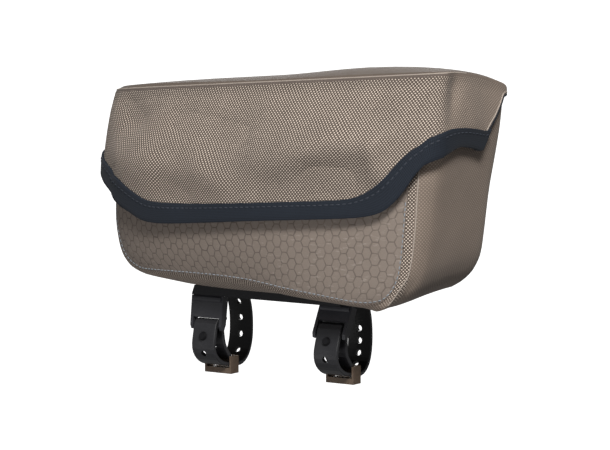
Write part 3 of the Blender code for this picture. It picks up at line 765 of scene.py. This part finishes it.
def make_pouch(material):
    """Woven pouch under the flap, with a ridge down its front corner at the head end."""
    places = column_turns(BODY_CLOSE)
    count = len(places)
    girth = outline_length(body_plan(0.4), places + [1.0])
    levels = [0.0, 0.006, 0.015, 0.028, 0.042, 0.056, 0.07, 0.09, 0.11, 0.13, 0.17, 0.21, 0.27, 0.33]
    levels += [0.39, 0.45, 0.51, 0.57, 0.63, 0.69, 0.75, 0.80, 0.84, 0.88, 0.92, 0.96, 1.0]

    def floor_ring(inset):
        tail, head, front, back = FLOOR_SHARES
        plan = Plan(BODY_TAIL * tail - inset, BODY_HEAD * head - inset, BODY_FRONT * front - inset,
                    BODY_BACK * back - inset, BODY_TAIL_CORNER, BODY_SECTIONS[0].head_corner, BODY_HEAD_BOW)
        lift = Vector((0, 0, PLATE_THICKNESS + GAP + inset))
        return [plan_point(turn, plan) + lift for turn in places]

    def wall(level):
        ring = []
        for turn in places:
            point = body_point(turn, level)
            ring.append(point + body_normal(turn, level) * ridge_lift(turn, level, point))
        return ring

    rings = [floor_ring(0.0)] + [wall(level) for level in levels]
    inner = [1.0, 0.84, 0.68, 0.5, 0.33, 0.21, 0.13, 0.07, 0.042, 0.015, 0.0]
    rings += [[body_point(turn, level, BODY_WALL) for turn in places] for level in inner]
    rings.append(floor_ring(BODY_WALL))
    middle = 1 + levels.index(0.33)
    travelled = []
    for i in range(count):
        heights = [0.0]
        for lower, upper in zip(rings, rings[1:]):
            heights.append(heights[-1] + (upper[i] - lower[i]).length * 1000)
        shift = rings[middle][i].z * 1000 - heights[middle]
        travelled.append([height + shift for height in heights])

    points, faces, uvs = skin(rings, lambda row, i: girth[i], lambda row, i: travelled[i % count][row])
    for index in range(count):
        uvs[index] = [(points[v].x * 1000, points[v].y * 1000) for v in faces[index]]
    total = len(rings) * count
    capped(points, faces, uvs, range(count), range(total - count, total))
    obj = mesh_piece("pouch_cloth", points, faces, material, uvs, 50)
    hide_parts("bag_body")
    return obj


def make_ridge_highlight(material):
    """Pale line along the crest of the pouch's corner ridge, a painted highlight on the crease."""
    path = []
    for index in range(121):
        level = 0.03 + 0.75 * index / 120
        turn = smooth_value(RIDGE, level, "turn")
        path.append(on_body(turn, level, RIDGE_HEIGHT))
    obj = tube("ridge_highlight", path, 0.00035, material)
    return obj


def patch_turns(count):
    first, last = PATCH_EDGE[0].turn, PATCH_EDGE[-1].turn
    return [first + (last - first) * (1 - math.cos(math.pi * i / count)) / 2 for i in range(count + 1)]


def patch_level(turn):
    return smooth_value(PATCH_EDGE, turn, "level")


def on_body(turn, level, lift):
    return body_point(turn, level) + body_normal(turn, level) * lift


def make_patch(material):
    """Patterned patch sewn on the pouch's front."""
    columns, rows = 150, 20
    turns_across = patch_turns(columns)
    plan = body_plan(0.3)
    across_mm = [0.0]
    for a, b in zip(turns_across, turns_across[1:]):
        across_mm.append(across_mm[-1] + (plan_point(b, plan) - plan_point(a, plan)).length * 1000)
    points, faces, uvs = [], [], []
    span = (columns + 1) * (rows + 1)
    for lift in (PANEL_LIFT, GAP * 0.5):
        for turn in turns_across:
            low = patch_level(turn)
            for row in range(rows + 1):
                points.append(on_body(turn, low + (PATCH_TOP - low) * row / rows, lift))
    for i in range(columns):
        for j in range(rows):
            a = i * (rows + 1) + j
            b = a + rows + 1
            faces.append((a, b, b + 1, a + 1))
            faces.append((span + a, span + a + 1, span + b + 1, span + b))
            for order in ((a, b, b + 1, a + 1), (a, a + 1, b + 1, b)):
                uvs.append([(across_mm[v // (rows + 1)], points[v].z * 1000) for v in order])
    rim = [i * (rows + 1) for i in range(columns + 1)]
    rim += [columns * (rows + 1) + j for j in range(1, rows + 1)]
    rim += [i * (rows + 1) + rows for i in range(columns - 1, -1, -1)]
    rim += [j for j in range(rows - 1, 0, -1)]
    for a, b in zip(rim, rim[1:] + rim[:1]):
        faces.append((span + a, span + b, b, a))
        uvs.append([(across_mm[v // (rows + 1)], points[v].z * 1000) for v in (a, b, b, a)])
    obj = mesh_piece("front_patch", points, faces, material, uvs, 50)
    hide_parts("front_panel")
    return obj


def make_patch_stitches(material):
    """Thread sewn round the patch, just inside its edge."""
    inset_level, inset_turn = 0.010, 0.0016
    path, normals = [], []
    for turn in patch_turns(260):
        level = patch_level(turn)
        slope = (patch_level(turn + 0.001) - patch_level(turn - 0.001)) / 0.002
        lean = math.atan(slope * 0.35)
        at_turn, at_level = turn - inset_turn * math.sin(lean), level + inset_level * math.cos(lean)
        if at_level > PATCH_TOP * 0.8:
            continue
        path.append(on_body(at_turn, at_level, PANEL_LIFT))
        normals.append(body_normal(at_turn, at_level))
    obj = stitches("patch_stitches", path, normals, 0.0021, 0.0006, 0.00028, material)
    return obj


def tape_line(places, start, travelled):
    """Turn and drop of the two ends of the tape's width at this distance along the flap's edge."""
    length = places[-1].travelled
    turn = smooth_value(places, travelled, "turn")
    ahead, behind = min(travelled + TAPE_WIDTH / 3, length), max(travelled - TAPE_WIDTH / 3, 0.0)
    rise = smooth_value(places, ahead, "height") - smooth_value(places, behind, "height")
    lean = TAPE_WIDTH * rise / math.hypot(rise, ahead - behind)
    lean *= 1 - soft_step(length - TAPE_WIDTH, length, travelled)
    top_travelled = min(max(travelled - lean, start), length)
    top_turn = smooth_value(places, top_travelled, "turn")
    top_turn += WING_SLANT * soft_step(0.500, 0.533, top_turn)
    return (top_turn, smooth_value(TAPE_TOP, top_turn, "drop")), (turn, flap_edge_drop(turn))


def tape_point(top, bottom, share, outset):
    """Point on the tape's face: share 0 is its upper edge, 1 the flap's edge."""
    turn = top[0] + (bottom[0] - top[0]) * share
    drop = top[1] + (bottom[1] - top[1]) * share
    return flap_point(turn, drop, outset + flap_relief(turn, drop))


def make_tape(name, span, stand, material, node, start=0.0, extra=0.0):
    """Folded tape over the flap's edge: outer leg, rounded fold and inner leg."""
    places = edge_places(span[0], span[1] + extra)
    length = places[-1].travelled
    count = round(length / 0.0012)
    wall = TAPE_WALL
    shares = (0.0, 0.04, 0.2, 0.45, 0.7, 0.9, 1.0)
    rings, marks = [], []
    fold = (FLAP_WALL + 2 * stand + 2 * wall) / 2
    for index in range(count + 1):
        travelled = start + (length - start) * index / count
        top, bottom = tape_line(places, start, travelled)
        ring = []
        for share in shares:
            out = stand + wall * (0.55 if share == 0.0 else 1.0)
            ring.append(tape_point(top, bottom, share, out))
        for angle in (-45, -90, -135):
            reach = fold * math.cos(math.radians(angle))
            below = stand + wall * 0.6 + fold * 0.35 * -math.sin(math.radians(angle))
            ring.append(flap_point(bottom[0], bottom[1] + below / FLAP_DROP, reach - FLAP_WALL / 2))
        for share in shares[::-2]:
            ring.append(tape_point(top, bottom, share, -FLAP_WALL - stand - wall))
        for share in shares[::3]:
            ring.append(tape_point(top, bottom, share, -FLAP_WALL - stand))
        for share in (1.0, 0.45, 0.0):
            ring.append(tape_point(top, bottom, share, stand * 0.4))
        rings.append(ring)
        marks.append(travelled * 1000)
    corners = len(rings[0])
    place = [TAPE_WIDTH * 1000 * share for share in shares]
    while len(place) < corners + 1:
        place.append(place[-1] + 1.2)
    points = [point for ring in rings for point in ring]
    faces, uvs = [], []
    join_rings(faces, uvs, 0, marks, place)
    plain_ends(faces, uvs, 0, len(rings), corners)
    obj = mesh_piece(name, points, faces, material, uvs, 50)
    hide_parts(node)
    return obj


def make_tape_stitches(name, span, stand, material, start=0.0):
    places = edge_places(*span)
    length = places[-1].travelled
    path, normals = [], []
    count = round(length / 0.0015)
    for index in range(count + 1):
        travelled = start + (length - start) * index / count
        top, bottom = tape_line(places, start, travelled)
        share = STITCH_FROM_TOP / TAPE_WIDTH
        path.append(tape_point(top, bottom, share, stand + TAPE_WALL))
        beside = tape_point(top, bottom, share, stand + TAPE_WALL + 0.001)
        normals.append((beside - path[-1]).normalized())
    obj = stitches(name, path, normals, 0.0024, 0.0010, 0.00030, material)
    return obj


# Materials


def new_material(name, base, roughness):
    material = bpy.data.materials.new(name)
    material.use_nodes = True
    tree = material.node_tree
    shader = tree.nodes["Principled BSDF"]
    shader.inputs["Base Color"].default_value = base
    shader.inputs["Roughness"].default_value = roughness
    return material, tree, shader


def maths(tree, operation, first, second=None, clamp=False):
    node = tree.nodes.new("ShaderNodeMath")
    node.operation = operation
    node.use_clamp = clamp
    for socket, value in zip(node.inputs, (first, second)):
        if value is None:
            continue
        if isinstance(value, (int, float)):
            socket.default_value = value
        else:
            tree.links.new(value, socket)
    return node.outputs[0]


def mix_colour(tree, factor, first, second, blend="MIX"):
    node = tree.nodes.new("ShaderNodeMix")
    node.data_type = "RGBA"
    node.blend_type = blend
    for index, value in ((0, factor), (6, first), (7, second)):
        socket = node.inputs[index]
        if isinstance(value, (int, float, tuple)):
            socket.default_value = value
        else:
            tree.links.new(value, socket)
    return node.outputs[2]


def times(tree, first, second, clamp=False):
    return maths(tree, "MULTIPLY", first, second, clamp)


def plus(tree, first, second, clamp=False):
    return maths(tree, "ADD", first, second, clamp)


def minus(tree, first, second, clamp=False):
    return maths(tree, "SUBTRACT", first, second, clamp)


def tune(shader, **values):
    """Sets inputs of a shader, whose names have spaces for the underscores."""
    for name, value in values.items():
        shader.inputs[name.replace("_", " ")].default_value = value


def split_up(tree, vector):
    """First and second part of a vector."""
    split = tree.nodes.new("ShaderNodeSeparateXYZ")
    tree.links.new(vector, split.inputs[0])
    return split.outputs[0], split.outputs[1]


def cloth_coordinates(tree, turn=0.0):
    """The cloth's own flat coordinates in millimetres, turned by an angle."""
    uv = tree.nodes.new("ShaderNodeUVMap")
    uv.uv_map = "cloth_mm"
    mapping = tree.nodes.new("ShaderNodeMapping")
    mapping.inputs["Rotation"].default_value = (0, 0, turn)
    tree.links.new(uv.outputs[0], mapping.inputs["Vector"])
    return uv.outputs[0], mapping.outputs[0], *split_up(tree, mapping.outputs[0])


def noise(tree, vector, scale, detail=3.0, roughness=0.5):
    node = tree.nodes.new("ShaderNodeTexNoise")
    node.inputs["Scale"].default_value = scale
    node.inputs["Detail"].default_value = detail
    node.inputs["Roughness"].default_value = roughness
    tree.links.new(vector, node.inputs["Vector"])
    return node.outputs["Fac"]


def weave_height(tree, u, v, thread):
    """Plain weave: height of the thread on top, and which of the two it is."""
    a, b = maths(tree, "DIVIDE", u, thread), maths(tree, "DIVIDE", v, thread)
    parity = plus(tree, maths(tree, "FLOOR", a), maths(tree, "FLOOR", b))
    warp = maths(tree, "MODULO", maths(tree, "ABSOLUTE", parity), 2.0)
    warp = maths(tree, "GREATER_THAN", warp, 0.5)
    round_a = maths(tree, "SINE", times(tree, maths(tree, "FRACT", a), math.pi))
    round_b = maths(tree, "SINE", times(tree, maths(tree, "FRACT", b), math.pi))
    soft_a = maths(tree, "POWER", round_a, 0.45)
    soft_b = maths(tree, "POWER", round_b, 0.45)
    on_warp = times(tree, soft_a, round_b)
    on_weft = times(tree, soft_b, round_a)
    height = plus(tree, times(tree, on_warp, warp),
                   times(tree, on_weft, minus(tree, 1.0, warp)))
    return height, warp


def map_range(tree, value, low, high, low_out=0.0, high_out=1.0):
    node = tree.nodes.new("ShaderNodeMapRange")
    node.interpolation_type = "SMOOTHSTEP"
    tune(node, From_Min=low, From_Max=high, To_Min=low_out, To_Max=high_out)
    tree.links.new(value, node.inputs["Value"])
    return node.outputs[0]


def scaled_colour(tree, colour, factor):
    node = tree.nodes.new("ShaderNodeVectorMath")
    node.operation = "SCALE"
    tree.links.new(colour, node.inputs[0])
    tree.links.new(factor, node.inputs["Scale"])
    return node.outputs[0]


def link_surface(tree, shader, colour, roughness, relief, strength, depth):
    """Links colour and roughness to a shader, and relief by its strength and its depth in metres."""
    bump = tree.nodes.new("ShaderNodeBump")
    bump.inputs["Strength"].default_value = strength
    bump.inputs["Distance"].default_value = depth
    tree.links.new(relief, bump.inputs["Height"])
    for value, socket in ((colour, "Base Color"), (roughness, "Roughness"), (bump.outputs[0], "Normal")):
        tree.links.new(value, shader.inputs[socket])


def woven_material(name, turn, fades, lid=False, tint=1.0):
    """Coarse plain weave of pale and dark threads. Each fade row says from where to where round the bag,
    in millimetres, the weave flattens, how much of it is left, and how bright the cloth is there, partly
    its own tone and partly painted light and shade. For the lid's cloth, painted shade darkens the lid's
    top, a band just below the lid's edge and the flap's lower part."""
    material, tree, shader = new_material(name, rgb(120, 108, 98), 0.72)
    raw, vector, u, v = cloth_coordinates(tree, turn)
    wobble = noise(tree, vector, 0.11, 2.0)
    shift = times(tree, minus(tree, wobble, 0.5), 0.8)
    height, warp = weave_height(tree, plus(tree, u, shift), plus(tree, v, shift), THREAD)
    thread_colour = mix_colour(tree, warp, rgb(*DARK_THREAD), rgb(*PALE_THREAD))
    shade = maths(tree, "POWER", height, 0.9, True)
    colour = mix_colour(tree, shade, rgb(*WEAVE_GAP), thread_colour)
    fibre = noise(tree, vector, 3.2, 3.0, 0.7)
    colour = mix_colour(tree, times(tree, fibre, 0.35), colour, rgb(90, 80, 72), "MULTIPLY")
    across, along = split_up(tree, raw)
    contrast, bright = 1.0, tint
    for start, end, left, tone in fades:
        contrast = times(tree, contrast, map_range(tree, across, start, end, 1.0, left))
        bright = times(tree, bright, map_range(tree, across, start, end, 1.0, tone))
    if lid:
        on_lid = maths(tree, "GREATER_THAN", along, LID_FROM_MM)
        below = map_range(tree, along, PLAIN_BAND - 0.4, PLAIN_BAND + 0.4)
        below = minus(tree, below, on_lid, True)
        colour = mix_colour(tree, below, rgb(92, 82, 76), colour)
        contrast = times(tree, contrast, minus(tree, 1.0, times(tree, on_lid, 0.8)))
        height = times(tree, height, maths(tree, "MAXIMUM", below, times(tree, on_lid, 0.3)))
        # Painted shade: the lid's top, a band just below the lid's edge and the flap's lower part are
        # darkened in the colour.
        bright = times(tree, bright, minus(tree, 1.0, times(tree, on_lid, LID_PAINTED_SHADE)))
        bright = times(tree, bright, map_range(tree, along, PLAIN_BAND, SEAM_SHADE_MM, SEAM_PAINTED_SHADE, 1.0))
        lower = minus(tree, map_range(tree, along, *FLAP_SHADE_MM), on_lid, True)
        bright = times(tree, bright, minus(tree, 1.0, times(tree, lower, LOWER_FLAP_PAINTED_SHADE)))
    else:
        contrast = times(tree, contrast, map_range(tree, along, 2.0, 12.0, 0.45, 1.0))
    colour = mix_colour(tree, contrast, rgb(*WEAVE_MEAN), colour)
    mottled = noise(tree, vector, 0.05, 3.0)
    lift = plus(tree, times(tree, mottled, 0.3), 0.85)
    colour = scaled_colour(tree, colour, times(tree, lift, bright))
    total = plus(tree, times(tree, height, contrast), times(tree, fibre, 0.2))
    rough = minus(tree, 0.88, times(tree, height, 0.2))
    link_surface(tree, shader, colour, rough, total, 0.6, 0.00028)
    tune(shader, Sheen_Weight=0.05, Sheen_Roughness=0.5, Specular_IOR_Level=0.25)
    return material


def hexagon_material():
    """Smooth cloth with fine hexagon outlines in staggered columns, a faint weave and crinkles, painted
    lighter toward the head end with painted highlights on the crinkles.
    """
    material, tree, shader = new_material("patterned_cloth", rgb(112, 101, 93), 0.66)
    raw, vector, u, v = cloth_coordinates(tree, math.radians(-2.5))
    step, height = HEXAGON_STEP, HEXAGON_HEIGHT
    wave = noise(tree, vector, 0.10, 2.0)
    ripple = noise(tree, vector, 0.45, 2.0)
    shift = plus(tree, times(tree, minus(tree, wave, 0.5), 2.0),
                  times(tree, minus(tree, ripple, 0.5), 0.3))
    bent_u, bent_v = plus(tree, u, shift), minus(tree, v, shift)

    def to_centre(shift):
        """Distance to the nearest hexagon centre of one of the two lattices, as a share of the hexagon."""
        across = maths(tree, "DIVIDE", plus(tree, bent_u, shift * step), 2 * step)
        down = maths(tree, "DIVIDE", plus(tree, bent_v, shift * height / 2), height)
        x = minus(tree, maths(tree, "FRACT", across), 0.5)
        y = minus(tree, maths(tree, "FRACT", down), 0.5)
        x = times(tree, maths(tree, "ABSOLUTE", x), 2 * step / height * 1.21)
        y = maths(tree, "ABSOLUTE", y)
        slanted = plus(tree, times(tree, x, 0.8660), times(tree, y, 0.5))
        return maths(tree, "MAXIMUM", slanted, y)

    nearest = maths(tree, "MINIMUM", to_centre(0.0), to_centre(1.0))
    line = map_range(tree, nearest, 0.425, 0.475)
    fine, _ = weave_height(tree, u, v, 0.42)
    cloth = mix_colour(tree, times(tree, fine, 0.6), rgb(94, 85, 78), rgb(124, 113, 105))
    patchy = noise(tree, vector, 0.35, 4.0, 0.6)
    cloth = mix_colour(tree, times(tree, patchy, 0.35), cloth, rgb(92, 83, 76))
    # Painted light: toward the head end the patch grows lighter and its outlines fainter.
    lit_side = map_range(tree, split_up(tree, raw)[0], *PATCH_LIT_MM)
    rubbed = map_range(tree, noise(tree, vector, 0.22, 3.0), 0.35, 0.7)
    strength = times(tree, minus(tree, 0.78, times(tree, lit_side, 0.22)),
                     minus(tree, 1.0, times(tree, rubbed, 0.55)))
    cloth = scaled_colour(tree, cloth, plus(tree, PATCH_TONES[0], times(tree, lit_side, PATCH_TONES[1])))
    colour = mix_colour(tree, times(tree, line, strength), cloth, rgb(62, 54, 50))
    stretch = tree.nodes.new("ShaderNodeMapping")
    stretch.inputs["Rotation"].default_value = (0, 0, math.radians(38))
    stretch.inputs["Scale"].default_value = (0.16, 0.55, 1.0)
    tree.links.new(vector, stretch.inputs["Vector"])
    crinkle = map_range(tree, noise(tree, stretch.outputs[0], 1.0, 4.0, 0.6), 0.55, 0.75)
    # Painted highlights on the crinkles, stronger toward the head end.
    pale = times(tree, crinkle, plus(tree, 0.06, times(tree, lit_side, 0.16)))
    colour = mix_colour(tree, pale, colour, rgb(176, 166, 158))
    relief = plus(tree, times(tree, line, -0.8), times(tree, fine, 0.3))
    relief = plus(tree, relief, times(tree, crinkle, 1.0))
    rough = plus(tree, 0.62, times(tree, line, 0.2))
    link_surface(tree, shader, colour, rough, relief, 0.5, 0.00020)
    tune(shader, Sheen_Weight=0.05, Specular_IOR_Level=0.3)
    return material


def tape_material():
    """Dark navy ribbed tape with a fuzzy grain."""
    material, tree, shader = new_material("ribbed_tape", rgb(38, 45, 56), 0.8)
    _, vector, u, v = cloth_coordinates(tree)
    ribs = maths(tree, "SINE", times(tree, u, 2 * math.pi / 0.62))
    rows = maths(tree, "SINE", times(tree, v, 2 * math.pi / 0.9))
    fuzz = noise(tree, vector, 1.7, 4.0, 0.65)
    grain = plus(tree, times(tree, ribs, 0.25), times(tree, rows, 0.15))
    amount = plus(tree, times(tree, fuzz, 0.8), grain, True)
    colour = mix_colour(tree, amount, rgb(15, 18, 24), rgb(36, 42, 51))
    rough = plus(tree, 0.74, times(tree, fuzz, 0.15))
    link_surface(tree, shader, colour, rough, amount, 0.5, 0.00012)
    tune(shader, Sheen_Weight=0.04, Specular_IOR_Level=0.12)
    return material


def thread_material(name, light, dark):
    material, tree, shader = new_material(name, light, 0.7)
    _, _, u, v = cloth_coordinates(tree)
    twist = maths(tree, "SINE", plus(tree, times(tree, u, 6.0), times(tree, v, 1.4)))
    amount = plus(tree, times(tree, twist, 0.35), 0.5, True)
    tree.links.new(mix_colour(tree, amount, dark, light), shader.inputs["Base Color"])
    return material


def moulded_material(name, dark, light, roughness, grain, bump_mm, gloss, hub=None, inner_shade=None):
    """Moulded plastic or rubber: fine grain, soft blotches and slightly uneven gloss. With a hub, sides
    that face it take a near-black painted shade colour instead, as the shaded inner side of a strap does."""
    material, tree, shader = new_material(name, dark, roughness)
    place = tree.nodes.new("ShaderNodeTexCoord")
    fine = noise(tree, place.outputs["Object"], grain, 4.0, 0.6)
    broad = noise(tree, place.outputs["Object"], 90.0, 3.0)
    amount = plus(tree, times(tree, fine, 0.5), times(tree, broad, 0.5), True)
    colour = mix_colour(tree, amount, dark, light)
    if hub is not None:
        away = tree.nodes.new("ShaderNodeVectorMath")
        away.operation = "SUBTRACT"
        tree.links.new(place.outputs["Object"], away.inputs[0])
        away.inputs[1].default_value = hub
        facing = tree.nodes.new("ShaderNodeVectorMath")
        facing.operation = "DOT_PRODUCT"
        tree.links.new(away.outputs[0], facing.inputs[0])
        tree.links.new(place.outputs["Normal"], facing.inputs[1])
        outer = map_range(tree, facing.outputs["Value"], -0.002, 0.004)
        # Painted shade: sides that face the hub take the near-black colour.
        colour = mix_colour(tree, outer, inner_shade, colour)
    spread = plus(tree, roughness - 0.08, times(tree, broad, 0.16))
    link_surface(tree, shader, colour, spread, fine, 0.35, bump_mm / 1000)
    tune(shader, Specular_IOR_Level=gloss)
    return material


def dress_node(nodes, name, material, bevel=0.0, segments=2):
    obj = nodes[name]
    obj.data.materials.clear()
    obj.data.materials.append(material)
    if bevel:
        modifier = obj.modifiers.new("edges", "BEVEL")
        modifier.width = bevel
        modifier.segments = segments
        modifier.limit_method = "ANGLE"
        modifier.angle_limit = math.radians(40)
        modifier.harden_normals = True


# Stage

CAMERA_YAW = math.radians(34.4)
CAMERA_PITCH = math.radians(6.0)
CAMERA_DISTANCE = 1.842
CAMERA_FOCAL = 3500.0
IMAGE_WIDTH, IMAGE_HEIGHT = 610, 450
ORIGIN_PIXEL = (283.5, 297.0)
FLOOR_HEIGHT = -0.55
PAPER_TONE = 0.80
PAPER_GLOW = 0.90
ROOM_LIGHT = 0.20
# Lamps: metres toward the camera, to its right and up, the sides in metres, and the power in watts
Lamp = namedtuple("Lamp", "name toward right up size power colour")
LAMPS = table(
    Lamp,
    ("key", 1.55, 0.25, 1.30, (0.5, 0.5), 64, (1.0, 0.985, 0.96)),
    ("rear", -1.6, 0.0, 0.45, (1.2, 1.0), 22, (1, 1, 1)),
    ("bounce", 1.0, -0.6, -0.42, (1.0, 0.8), 11, (1, 1, 1)),
)
LAMP_AIM = Vector((0, 0, 0.05))


def make_stage():
    profile = [(-6.0, 0.0), (2.2, 0.0), (2.8, 0.12), (3.2, 0.45), (3.4, 1.0), (3.45, 4.5)]
    points, faces = [], []
    for y, z in profile:
        for x in (-8.0, 8.0):
            points.append((x, y, FLOOR_HEIGHT + z))
    for row in range(len(profile) - 1):
        faces.append((2 * row, 2 * row + 1, 2 * row + 3, 2 * row + 2))
    mesh = bpy.data.meshes.new("backdrop")
    mesh.from_pydata(points, [], faces)
    mesh.shade_smooth()
    material, _, shader = new_material("pale_paper", (*[PAPER_TONE] * 3, 1.0), 0.9)
    tune(shader, Specular_IOR_Level=0.1, Emission_Color=(1.0, 1.0, 1.0, 1.0), Emission_Strength=PAPER_GLOW)
    mesh.materials.append(material)
    obj = add_object("backdrop", mesh)
    obj.rotation_euler = (0, 0, CAMERA_YAW)
    obj.visible_diffuse = False
    obj.visible_glossy = False


def make_lights():
    """Even room light and soft lamps. The rear one only shows the bag's back in views from behind."""
    world = bpy.data.worlds.new("studio")
    world.use_nodes = True
    background = world.node_tree.nodes["Background"]
    background.inputs["Color"].default_value = (1.0, 1.0, 1.0, 1.0)
    background.inputs["Strength"].default_value = ROOM_LIGHT
    bpy.context.scene.world = world
    side = Vector((math.cos(CAMERA_YAW), math.sin(CAMERA_YAW), 0))
    toward = Vector((math.sin(CAMERA_YAW), -math.cos(CAMERA_YAW), 0))
    for lamp in LAMPS:
        data = bpy.data.lights.new(lamp.name, "AREA")
        data.shape = "RECTANGLE"
        data.size, data.size_y = lamp.size
        data.energy = lamp.power
        data.color = lamp.colour
        obj = add_object(lamp.name, data)
        obj.location = toward * lamp.toward + side * lamp.right + Vector((0, 0, lamp.up))
        obj.rotation_euler = (LAMP_AIM - obj.location).to_track_quat("-Z", "Y").to_euler()


def make_camera():
    """Camera of the photo: the origin lies at its pixel, at the camera's distance along the view."""
    yaw, pitch = CAMERA_YAW, CAMERA_PITCH
    right = Vector((math.cos(yaw), math.sin(yaw), 0))
    up = Vector((-math.sin(pitch) * math.sin(yaw), math.sin(pitch) * math.cos(yaw), math.cos(pitch)))
    back = Vector((math.sin(yaw) * math.cos(pitch), -math.cos(yaw) * math.cos(pitch), math.sin(pitch)))
    across = (ORIGIN_PIXEL[0] - IMAGE_WIDTH / 2) / CAMERA_FOCAL * CAMERA_DISTANCE
    down = (ORIGIN_PIXEL[1] - IMAGE_HEIGHT / 2) / CAMERA_FOCAL * CAMERA_DISTANCE
    place = back * CAMERA_DISTANCE - right * across + up * down
    data = bpy.data.cameras.new("camera")
    data.sensor_width = 36.0
    data.lens = CAMERA_FOCAL / IMAGE_WIDTH * data.sensor_width
    data.clip_start, data.clip_end = 0.05, 60.0
    camera = add_object("camera", data)
    camera.matrix_world = Matrix((
        (right.x, up.x, back.x, place.x),
        (right.y, up.y, back.y, place.y),
        (right.z, up.z, back.z, place.z),
        (0, 0, 0, 1),
    ))
    bpy.context.scene.camera = camera


def main():
    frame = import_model()
    for obj in list(bpy.data.objects):
        if obj.name in ("Cube", "Light", "Camera"):
            bpy.data.objects.remove(obj, do_unlink=True)
    nodes = frame["nodes"]
    make_camera()
    make_stage()
    make_lights()
    bpy.context.scene.view_settings.view_transform = "Standard"
    # The weave flattens round the flap's corner and on the wing, and the wing's back half is painted
    # lighter, as light falling on it.
    corner, wing_start, wing_middle, wing_end = [flap_across(turn) for turn in (0.395, 0.44, 0.50, 0.58)]
    flap_fades = ((corner, wing_start, 0.6, 1.0), (wing_middle, wing_end, 0.6, 1.06))
    flap_weave = woven_material("woven_flap", WEAVE_TURN, flap_fades, lid=True, tint=0.95)
    # Past the ridge the pouch's head end is darker, partly its own cloth and partly painted shade under the
    # wing, and its weave flattens there.
    ridge_mm = outline_length(body_plan(0.4), (0.0, 0.05, 0.1, 0.15, 0.2, 0.25, 0.3, 0.35, 0.383))[-1]
    body_fades = ((ridge_mm - 0.6, ridge_mm + 0.6, 0.3, 0.74),)
    body_weave = woven_material("woven_body", math.radians(-3.0), body_fades, tint=0.92)
    tape = tape_material()
    navy_thread = thread_material("navy_thread", rgb(45, 51, 62), rgb(20, 24, 32))
    grey_thread = thread_material("grey_thread", rgb(140, 146, 152), rgb(78, 84, 92))
    # Pale line material: welded lines on the lid and wings, and a painted highlight along the ridge's
    # crease.
    weld_and_highlight = thread_material("welded_line_and_highlight", rgb(150, 140, 131), rgb(120, 110, 102))
    plastic = moulded_material("moulded_plastic", rgb(30, 30, 33), rgb(47, 47, 51), 0.36, 900.0, 0.03, 0.4)
    # Near-black plastic of the base plate and studs, partly their own colour and partly painted shade under
    # the bag and in the strap's holes.
    black_and_shade_plastic = moulded_material("black_and_shade_plastic", rgb(8, 8, 10), rgb(18, 18, 21), 0.5, 900.0, 0.03, 0.2)
    # Brown plastic of the keepers, in darker and paler blotches.
    brown, pale_brown = rgb(44, 35, 28), rgb(98, 84, 72)
    brown_plastic = moulded_material("brown_plastic", brown, pale_brown, 0.55, 900.0, 0.04, 0.2)
    # Painted shade: each strap's sides that face its loop's middle are near black.
    rubber = {}
    for end, side in (("tail", -1), ("head", 1)):
        hub = (side * STRAP_SPACING / 2, 0.0, -0.018)
        rubber[end] = moulded_material(f"moulded_rubber_{end}", rgb(20, 20, 22), rgb(44, 44, 47), 0.34,
                                       700.0, 0.06, 0.4, hub, rgb(3, 3, 4))
    make_flap_cloth(flap_weave)
    make_pouch(body_weave)
    make_patch(hexagon_material())
    make_patch_stitches(grey_thread)
    front, wing = TAPE_SPANS["flap_binding"], TAPE_SPANS["wing_binding"]
    make_tape("front_tape", front, TAPE_GAP, tape, "flap_binding", extra=0.004)
    make_tape("wing_tape", wing, TAPE_GAP * 0.4, tape, "wing_binding", start=GAP)
    make_tape_stitches("front_tape_stitches", front, TAPE_GAP, navy_thread)
    make_tape_stitches("wing_tape_stitches", wing, TAPE_GAP * 0.4, navy_thread, start=GAP)
    make_wing_edges(tape, weld_and_highlight)
    make_lid_seam(weld_and_highlight)
    make_ridge_highlight(weld_and_highlight)
    dress_node(nodes, "base_plate", black_and_shade_plastic, 0.0006)
    for end in ("tail", "head"):
        dress_node(nodes, f"strap_{end}", rubber[end])
        dress_node(nodes, f"buckle_{end}", plastic, 0.0003)
        dress_node(nodes, f"stud_{end}", black_and_shade_plastic, 0.0002)
        dress_node(nodes, f"keeper_{end}", brown_plastic, 0.0003)


main()
